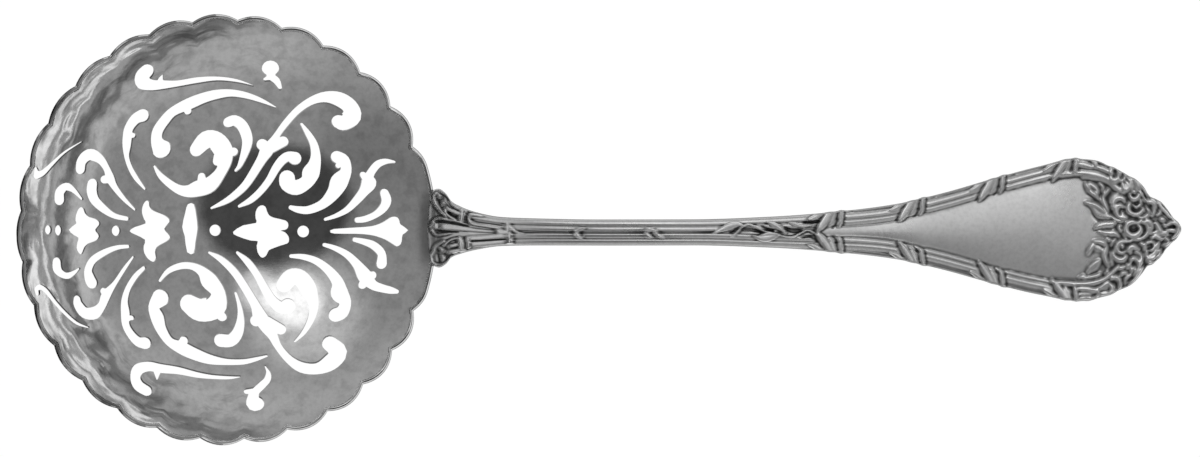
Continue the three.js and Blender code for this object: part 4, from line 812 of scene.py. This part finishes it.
def lay(face, x, y, relief, depth, spread=1.0):
    """Raises low strokes of relief over the face, and keeps how far they cover it."""
    height, cover = face
    for rise, *spine in relief:
        q = stroke_share(x, y, spine) / spread
        form = (RELIEF * rise + depth) * np.sqrt(np.clip(1 - q**4, 0, 1)) - depth
        height[q < 1] = np.maximum(height, form)[q < 1]
        np.maximum(cover, np.clip((RELIEF_RUBBED - q) / RELIEF_FADE, 0, 1), out=cover)


def press(face, x, y, hollows):
    """Presses dark strokes into the face."""
    height, cover = face
    for depth, *spine in hollows:
        q = stroke_share(x, y, spine)
        height -= depth * np.clip(1 - q * q, 0, 1)
        np.minimum(cover, np.clip((q - PIT_RUBBED) / PIT_FADE, 0, 1), out=cover)


def soften(field, passes):
    for _ in range(passes):
        field = np.pad(field, 1, "edge")
        field = (field[:-2] + 2 * field[1:-1] + field[2:]) / 4
        field = (field[:, :-2] + 2 * field[:, 1:-1] + field[:, 2:]) / 4
    return field


def handle_edges(x):
    """Upper and lower edge of the handle at each x, with the swell of the ribbon's knots."""
    half, middle = curve(HALF_WIDTH, x), curve(MIDDLE_Y, x)
    swell = sum(
        sum(rise * np.exp(-(((x - turn - place) / width) ** 2)) for rise, place, width in KNOTS)
        for turn in TURNS
    )
    upper = np.where(x < TIP_X, middle + half, curve(TIP_TOP, x)) + swell
    lower = np.where(x < TIP_X, middle - half, curve(TIP_LOW, x)) - swell
    return upper, lower


def reeded_face(x, y, upper, lower):
    """Heights of the reeds and the panel between them, and how dark the grooves are."""
    half = (upper - lower) / 2
    inset = np.minimum(upper - y, y - lower)
    wide = smoothstep(*STEM_WIDENS, half)
    above = upper - y < y - lower
    grooves = [
        stem * (1 - wide) + np.where(above, high, low) * wide
        for stem, high, low in zip(STEM_GROOVES, UPPER_GROOVES, LOWER_GROOVES)
    ]
    away = np.ones_like(x)
    for outer, inner in zip(grooves[:-1], grooves[1:]):
        q = np.clip(np.abs(inset - (outer + inner) / 2) / ((inner - outer) / 2), 0, 1)
        away = np.minimum(away, q)
    lined = GROOVE_DARK * smoothstep(*LINED, away) * smoothstep(*LINED_INSET, inset - inner)
    reeds = np.where(inset < grooves[0], -EDGE_STEP, -GROOVE * away**3)
    from_middle = y - (upper + lower) / 2
    stem_camber = STEM_CAMBER * (from_middle / half) ** 2
    stem_camber = stem_camber + STEM_SPLIT * np.clip(1 - (from_middle / SPLIT_HALF) ** 2, 0, 1)
    border_camber = np.clip(np.abs(inset - BORDER_MIDDLE) / BORDER_HALF, 0, 1) ** 2
    reeds = reeds - stem_camber * (1 - wide) - BORDER_CAMBER * border_camber * wide
    bow = np.clip((inset - inner) / np.maximum(half - inner, .01), 0, 1)
    crown = PANEL_CROWN * np.clip((half - 3) / 10, 0, 1) * bow * (2 - bow)
    crown = crown * (1 - LEAF_FLAT * smoothstep(*LEAF_X, x))
    panel = -GROOVE + (GROOVE - PANEL_SINK) * smoothstep(inner, inner + PANEL_EDGE, inset) + crown
    return np.where(inset > inner, panel, reeds), lined, inset


def handle_face(x, y, upper, lower):
    """Heights of the worked face from the reeds' crowns, and how bright each place is rubbed."""
    height, lined, inset = reeded_face(x, y, upper, lower)
    joint = smoothstep(*JOINT_ENDS, x)
    height = height * (1 - joint) - JOINT_SINK * joint
    tip = smoothstep(*TIP_EDGE, x - np.interp(y, *table(TIP_GROUND, 2).T))
    height = height * (1 - tip) - TIP_SINK * tip
    lined = lined * (1 - tip) * (1 - joint)
    face = (height, 1 - np.maximum(lined, np.maximum(TIP_DARK * tip, JOINT_DARK * joint)))
    press(face, x, y, LEAF_HOLLOWS)
    lay(face, x, y, LEAF_RELIEF, LEAF_SINK)
    lay(face, x, y, JOINT_RELIEF, JOINT_SINK)
    press(face, x, y, JOINT_PITS)
    for edge_inset in (upper - y, y - lower):
        for turn in TURNS:
            press(face, x - turn, edge_inset, RIBBON_HOLLOWS)
            lay(face, x - turn, edge_inset, RIBBON_RELIEF, LEAF_SINK)
    lay(face, x, y, TIP_RELIEF, TIP_SINK, TIP_SPREAD)
    press(face, x, y, TIP_PITS)
    return soften(face[0], 2), face[1], inset


def make_handle():
    runs = [np.arange(start, stop, step) for start, stop, step in STATIONS]
    station = np.concatenate([*runs, [HANDLE_END]])
    station = station[np.diff(station, prepend=-99) > LEAST_STEP][:, None]
    upper, lower = handle_edges(station)
    thick = curve(THICKNESS, station)
    reach = np.minimum(station - DISH_X, BALL_REACH)
    heel = DISH_Z - np.sqrt(OUTER_RADIUS**2 - reach**2) - HEEL_DEPTH
    back = np.where(station < HEEL_TO, heel, curve(BACK_Z, station))
    x = np.repeat(station, ACROSS, 1)
    y = upper + (lower - upper) * np.linspace(0, 1, ACROSS)
    face, cover, inset = handle_face(x, y, upper, lower)

    patina_and_shade = np.clip((soften(face, 8) - face - LEAST_DEPTH) / DARK_DEPTH, 0, 1)
    patina_and_shade = soften(np.maximum(patina_and_shade, UNRUBBED * (1 - cover)), 1)
    # Painted shade along the handle's edges
    patina_and_shade = np.maximum(patina_and_shade, EDGE_SHADE * smoothstep(*EDGE_DARKENS, inset))

    reach2 = np.minimum((x - DISH_X) ** 2 + y**2, BALL_REACH**2)
    sheet = DISH_Z - np.sqrt(OUTER_RADIUS**2 - reach2) - LAP_GAP
    past_lap = x - (LAP_X + LAP_BEND * y**2)
    edge_drop = EDGE_DROP * thick * smoothstep(*EDGE_ROUND, inset) ** 1.5
    crown = back + thick - edge_drop - LAP_DROP * smoothstep(*LAP_DROPS, past_lap)
    tucked = smoothstep(*LAP_EDGE, past_lap)
    top = np.minimum(crown + face, sheet) * tucked + (crown + face) * (1 - tucked)
    share = np.linspace(1, 0, UNDER + 2)[1:-1]
    rise = np.clip((np.abs(2 * share - 1) - UNDER_FLAT) / (1 - UNDER_FLAT), 0, 1) ** 2
    edges = np.minimum(top[:, :1], top[:, -1:])
    under = np.minimum(back + UNDER_RISE * thick * rise, edges - LEAST_THICK)
    under_y = upper + (lower - upper) * share
    rings = np.concatenate([
        np.stack([x, y, top], -1), np.stack([np.repeat(station, UNDER, 1), under_y, under], -1),
    ], 1)
    stations, count = rings.shape[:2]
    start = np.arange(stations - 1)[:, None] * count
    here = np.arange(count)
    there = (here + 1) % count
    faces = np.stack([start + here, start + there, start + count + there, start + count + here], -1)
    faces = faces.reshape(-1, 4).tolist()
    faces.append(list(range(count))[::-1])
    faces.append([(stations - 1) * count + k for k in range(count)])
    piece = new_mesh("handle_casting", rings.reshape(-1, 3), faces)
    # The back is darker all over
    patina_and_shade = np.concatenate([patina_and_shade, np.full((stations, UNDER), BACK_DARK)], 1)
    keep_marks(piece, "patina_and_shade", patina_and_shade.reshape(-1))
    return piece


# ---- Materials
# Pitch of the metal's patches, spots and grain, of its scratches and of the rim's painted streaks
# of dark reflection
CLOUD, MOTTLE, GRAIN = 60.0, 420.0, 1400.0
SCRATCHES = (300.0, 2600.0, 300.0)
STREAKS = (.085, .085, .5)
# How far the marks of patina and painted shade darken the colour
PATINA_AND_SHADE_DARK = 0.93


def node(tree, kind, inputs=None, **settings):
    made = tree.nodes.new(kind)
    for name, value in settings.items():
        setattr(made, name, value)
    for name, value in (inputs or {}).items():
        if isinstance(value, bpy.types.NodeSocket):
            tree.links.new(value, made.inputs[name])
        else:
            made.inputs[name].default_value = value
    return made


def ramp(tree, factor, stops):
    made = node(tree, "ShaderNodeValToRGB", {"Fac": factor})
    band = made.color_ramp
    for element, (place, value) in zip(band.elements, (stops[0], stops[-1])):
        element.position, element.color = place, (*[value] * 3, 1)
    for place, value in stops[1:-1]:
        band.elements.new(place).color = (*[value] * 3, 1)
    return made.outputs["Color"]


def maths(tree, operation, *values, clamp=False):
    inputs = dict(enumerate(values))
    return node(tree, "ShaderNodeMath", inputs, operation=operation, use_clamp=clamp).outputs[0]


def times(tree, a, b):
    return maths(tree, "MULTIPLY", a, b)


def less(tree, a):
    """What is left of one."""
    return maths(tree, "SUBTRACT", 1.0, a)


def noise(tree, vector, scale, detail, **more):
    inputs = {"Vector": vector, "Scale": scale, "Detail": detail, **more}
    return node(tree, "ShaderNodeTexNoise", inputs).outputs["Fac"]


def attribute(tree, name, output):
    return node(tree, "ShaderNodeAttribute", attribute_name=name).outputs[output]


def stretched(tree, vector, scale):
    return node(tree, "ShaderNodeMapping", {"Vector": vector, "Scale": scale}).outputs[0]


def new_tree(owner):
    owner.use_nodes = True
    owner.node_tree.nodes.clear()
    return owner.node_tree


def silver_material(name, base, rough, bumpy, stained, streaks=False):
    """Silver with soft patina, rubbed patches, fine scratches, patina and painted shade where
    marked, and painted streaks of dark reflection round the rim.
    """
    material = bpy.data.materials.new(name)
    tree = new_tree(material)
    place = node(tree, "ShaderNodeTexCoord").outputs["Object"]
    cloud = noise(tree, place, CLOUD, 5.0)
    grain = noise(tree, place, GRAIN, 3.0)
    scratch = noise(tree, stretched(tree, place, SCRATCHES), 1.0, 2.0)
    colour = ramp(tree, cloud, [(.3, base * (1 - .14 * stained)), (.7, base)])
    roughness = ramp(tree, cloud, [(.3, rough * 1.3), (.7, rough * .85)])
    mottle = noise(tree, place, MOTTLE, 6.0)
    stain = ramp(tree, mottle, [(.36, 1 - .2 * stained), (.5, 1 - .04 * stained), (.62, 1)])
    colour = times(tree, colour, stain)
    colour = times(tree, colour, ramp(tree, grain, [(.3, .9), (.6, 1.0)]))
    # Painted streaks of dark reflection round the far rim, and painted shade along its edge
    if streaks:
        drawn = stretched(tree, attribute(tree, "rim_place", "Vector"), STREAKS)
        streak = noise(tree, drawn, 1.0, 4.0, Roughness=.6, Distortion=.4)
        tone = attribute(tree, "rim_tone", "Vector")
        tone = node(tree, "ShaderNodeSeparateXYZ", {0: tone}).outputs
        dark = ramp(tree, streak, [(.36, .75), (.44, .3), (.5, 0.0)])
        dark = maths(tree, "ADD", times(tree, tone["X"], dark), tone["Y"], clamp=True)
        colour = times(tree, colour, less(tree, dark))
    # Darkening from the marks: patina in the handle's hollows, painted shade on the bowl's walls
    # and the handle's edges, a painted dark reflection along the lap, and darker undersides
    patina_and_shade = attribute(tree, "patina_and_shade", "Fac")
    colour = times(tree, colour, less(tree, times(tree, patina_and_shade, PATINA_AND_SHADE_DARK)))
    height = maths(tree, "ADD", times(tree, grain, .6), times(tree, scratch, .2))
    bump = node(tree, "ShaderNodeBump", {"Height": height, "Strength": bumpy, "Distance": .0002})
    shader = node(tree, "ShaderNodeBsdfPrincipled", {
        "Base Color": colour, "Metallic": 1.0, "Roughness": roughness, "Normal": bump.outputs[0],
    })
    node(tree, "ShaderNodeOutputMaterial", {"Surface": shader.outputs[0]})
    return material


# ---- Floor, tent and lamps
FLOOR_LEFT, FLOOR_RIGHT, FLOOR_Y = -420.0, 150.0, 110.0
# Paper that glows white where it is seen or mirrored, and takes the shadow with the rest
PAPER_COLOUR = (.8, .8, .8, 1)
WHITE = (1, 1, 1, 1)
GLOW = 1.08
GLOW_SHARE = 0.62
GLOW_SEEN = 0.3
# Tent: rows of an angle from straight up, which leans LEAN degrees away from the handle, and the
# brightness there, over the spoon's ends and towards its two long sides
TENT = (
    0,.26, 50,.26, 66,.25, 71,.31, 74.5,.48, 78,.5, 79.6,.42, 81.2,.18, 84.6,.16, 86,.45, 87.5,.42,
    88.6,.28, 90,.28, 90.4,.85, 91.3,.85, 91.8,.3, 94.3,.32, 95.6,.9, 100,.9, 101.5,.35, 125,.3,
    180,.2,
)
TENT_SIDES = (
    0,.26, 50,.29, 57.5,.32, 67,.4, 75,.4, 77.2,.35, 79.6,.32, 81,.19, 84.4,.17, 86.3,.3, 89,.36,
    90,.36, 90.6,.95, 92,.95, 92.6,.36, 94.4,.36, 95.3,.9, 99,.9, 100.5,.35, 125,.3, 180,.2,
)
LEAN = 6
SIDES_FROM = (.3, .8)
# Darker towards the lower left, and behind the bowl, as parts of a unit direction
CORNER_X, CORNER_Y, CORNER_DARK = (0.0, -.4), (.5, -.5), .3
BEHIND_X, BEHIND_LIGHT = (-.85, -.7), .15
# The camera's dark hood overhead, as parts of a unit direction: middle, half sizes and edge
HOOD_X, HOOD_Y = .06, -.13
HOOD_HALF_X, HOOD_HALF_Y = .47, .38
HOOD_EDGE = (.82, 1.08)
HOOD_DARK = .75
# Lamp panels: angle from straight up, azimuth, inner and outer size in degrees, brightness
PANELS = [(25, 97, 4, 12, .6), (31, 105, 5, 24, .27), (23, 66, 3, 9, .45)]
# Area lights for the handle alone: name, place, width, depth and radiance
LAMPS = [
    ("handle_light_upper", (130, 75, 220), 200, 150, .5),
    ("handle_light_lower", (130, -80, 220), 200, 150, .1),
    ("handle_light_joint", (-215, 0, 135), 240, 170, .42),
]


def make_floor():
    corners = [(FLOOR_LEFT, -FLOOR_Y, 0), (FLOOR_RIGHT, -FLOOR_Y, 0),
               (FLOOR_RIGHT, FLOOR_Y, 0), (FLOOR_LEFT, FLOOR_Y, 0)]
    floor = new_mesh("floor", corners, [(0, 1, 2, 3)])
    material = bpy.data.materials.new("white_paper")
    tree = new_tree(material)
    path = node(tree, "ShaderNodeLightPath").outputs
    seen = maths(tree, "ADD", path["Is Camera Ray"], path["Is Glossy Ray"])
    seen = maths(tree, "ADD", seen, path["Is Transmission Ray"], clamp=True)
    paper = node(tree, "ShaderNodeBsdfDiffuse", {"Color": PAPER_COLOUR}).outputs[0]
    glow = node(tree, "ShaderNodeEmission", {"Color": WHITE, "Strength": GLOW}).outputs[0]
    share = maths(tree, "MULTIPLY_ADD", seen, GLOW_SEEN, GLOW_SHARE)
    mixed = node(tree, "ShaderNodeMixShader", {0: share, 1: paper, 2: glow}).outputs[0]
    below = node(tree, "ShaderNodeNewGeometry").outputs["Backfacing"]
    clear = node(tree, "ShaderNodeBsdfTransparent").outputs[0]
    mixed = node(tree, "ShaderNodeMixShader", {0: below, 1: mixed, 2: clear}).outputs[0]
    node(tree, "ShaderNodeOutputMaterial", {"Surface": mixed})
    floor.data.materials.append(material)


def aim(zenith, azimuth):
    """Unit direction at an angle from straight up, towards an azimuth from +X."""
    z, a = math.radians(zenith), math.radians(azimuth)
    return (math.sin(z) * math.cos(a), math.sin(z) * math.sin(a), math.cos(z))


def ease(tree, value, low, high, at_low, at_high):
    """at_low up to low and at_high from high on, with a smooth change between them."""
    return node(tree, "ShaderNodeMapRange", {
        "Value": value, "From Min": low, "From Max": high, "To Min": at_low, "To Max": at_high,
    }, interpolation_type="SMOOTHSTEP").outputs["Result"]


def patch(tree, direction, towards, inner, outer):
    """1 within inner degrees of a direction, fading to 0 at outer degrees."""
    dot = node(tree, "ShaderNodeVectorMath", {0: direction, 1: towards}, operation="DOT_PRODUCT")
    low, high = math.cos(math.radians(outer)), math.cos(math.radians(inner))
    return ease(tree, dot.outputs["Value"], low, high, 0.0, 1.0)


def make_world():
    """A soft tent: dark where the camera looks through, bands and lamp panels round it."""
    world = bpy.data.worlds.new("studio")
    bpy.context.scene.world = world
    tree = new_tree(world)
    direction = node(tree, "ShaderNodeTexCoord").outputs["Generated"]
    parts = node(tree, "ShaderNodeSeparateXYZ", {0: direction}).outputs
    zenith = times(tree, maths(tree, "ARCCOSINE", parts["Z"]), 1 / math.pi)
    place = maths(tree, "ADD", zenith, times(tree, less(tree, parts["X"]), LEAN / 180))
    tent, sides = (
        ramp(tree, place, [(angle / 180, value) for angle, value in table(stops, 2).tolist()])
        for stops in (TENT, TENT_SIDES)
    )
    aside = ease(tree, maths(tree, "ABSOLUTE", parts["Y"]), *SIDES_FROM, 0.0, 1.0)
    tent = maths(tree, "ADD", times(tree, aside, sides), times(tree, less(tree, aside), tent))
    corner = times(tree, ease(tree, parts["X"], *CORNER_X, 0.0, 1.0),
                   ease(tree, parts["Y"], *CORNER_Y, 0.0, CORNER_DARK))
    tent = times(tree, tent, less(tree, corner))
    across = times(tree, maths(tree, "SUBTRACT", parts["X"], HOOD_X), 1 / HOOD_HALF_X)
    along = times(tree, maths(tree, "ADD", parts["Y"], -HOOD_Y), 1 / HOOD_HALF_Y)
    squares = maths(tree, "ADD", times(tree, across, across), times(tree, along, along))
    middle = maths(tree, "SQRT", squares)
    overhead = maths(tree, "GREATER_THAN", parts["Z"], 0.0)
    hood = times(tree, ease(tree, middle, *HOOD_EDGE, HOOD_DARK, 0.0), overhead)
    tent = times(tree, tent, less(tree, hood))
    lit = times(tree, tent, ease(tree, parts["X"], *BEHIND_X, BEHIND_LIGHT, 1.0))
    for zenith_angle, azimuth, inner, outer, gain in PANELS:
        panel = patch(tree, direction, aim(zenith_angle, azimuth), inner, outer)
        lit = maths(tree, "ADD", lit, times(tree, panel, gain))
    seen = node(tree, "ShaderNodeLightPath").outputs["Is Camera Ray"]
    strength = maths(tree, "MAXIMUM", lit, seen)
    glow = node(tree, "ShaderNodeBackground", {"Color": WHITE, "Strength": strength})
    node(tree, "ShaderNodeOutputWorld", {"Surface": glow.outputs[0]})


def area_light(receivers, name, place, width, depth, radiance):
    data = bpy.data.lights.new(name, "AREA")
    data.shape = "RECTANGLE"
    data.size, data.size_y = width * MM, depth * MM
    data.energy = radiance * math.pi * width * MM * depth * MM
    lamp = bpy.data.objects.new(name, data)
    lamp.location = [value * MM for value in place]
    lamp.visible_camera = False
    bpy.context.collection.objects.link(lamp)
    lamp.light_linking.receiver_collection = receivers


bowl = make_bowl()
bowl.data.materials.append(
    silver_material("bowl_silver", base=.97, rough=.055, bumpy=.025, stained=.9, streaks=True)
)
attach(bowl, "root")
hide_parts("pierced_bowl")

handle = make_handle()
handle.data.materials.append(
    silver_material("handle_silver", base=.92, rough=.27, bumpy=.05, stained=.15)
)
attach(handle, "root")
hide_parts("handle")

make_floor()
make_world()
lit_by_panels = bpy.data.collections.new("lit_by_panels")
lit_by_panels.objects.link(handle)
for lamp in LAMPS:
    area_light(lit_by_panels, *lamp)
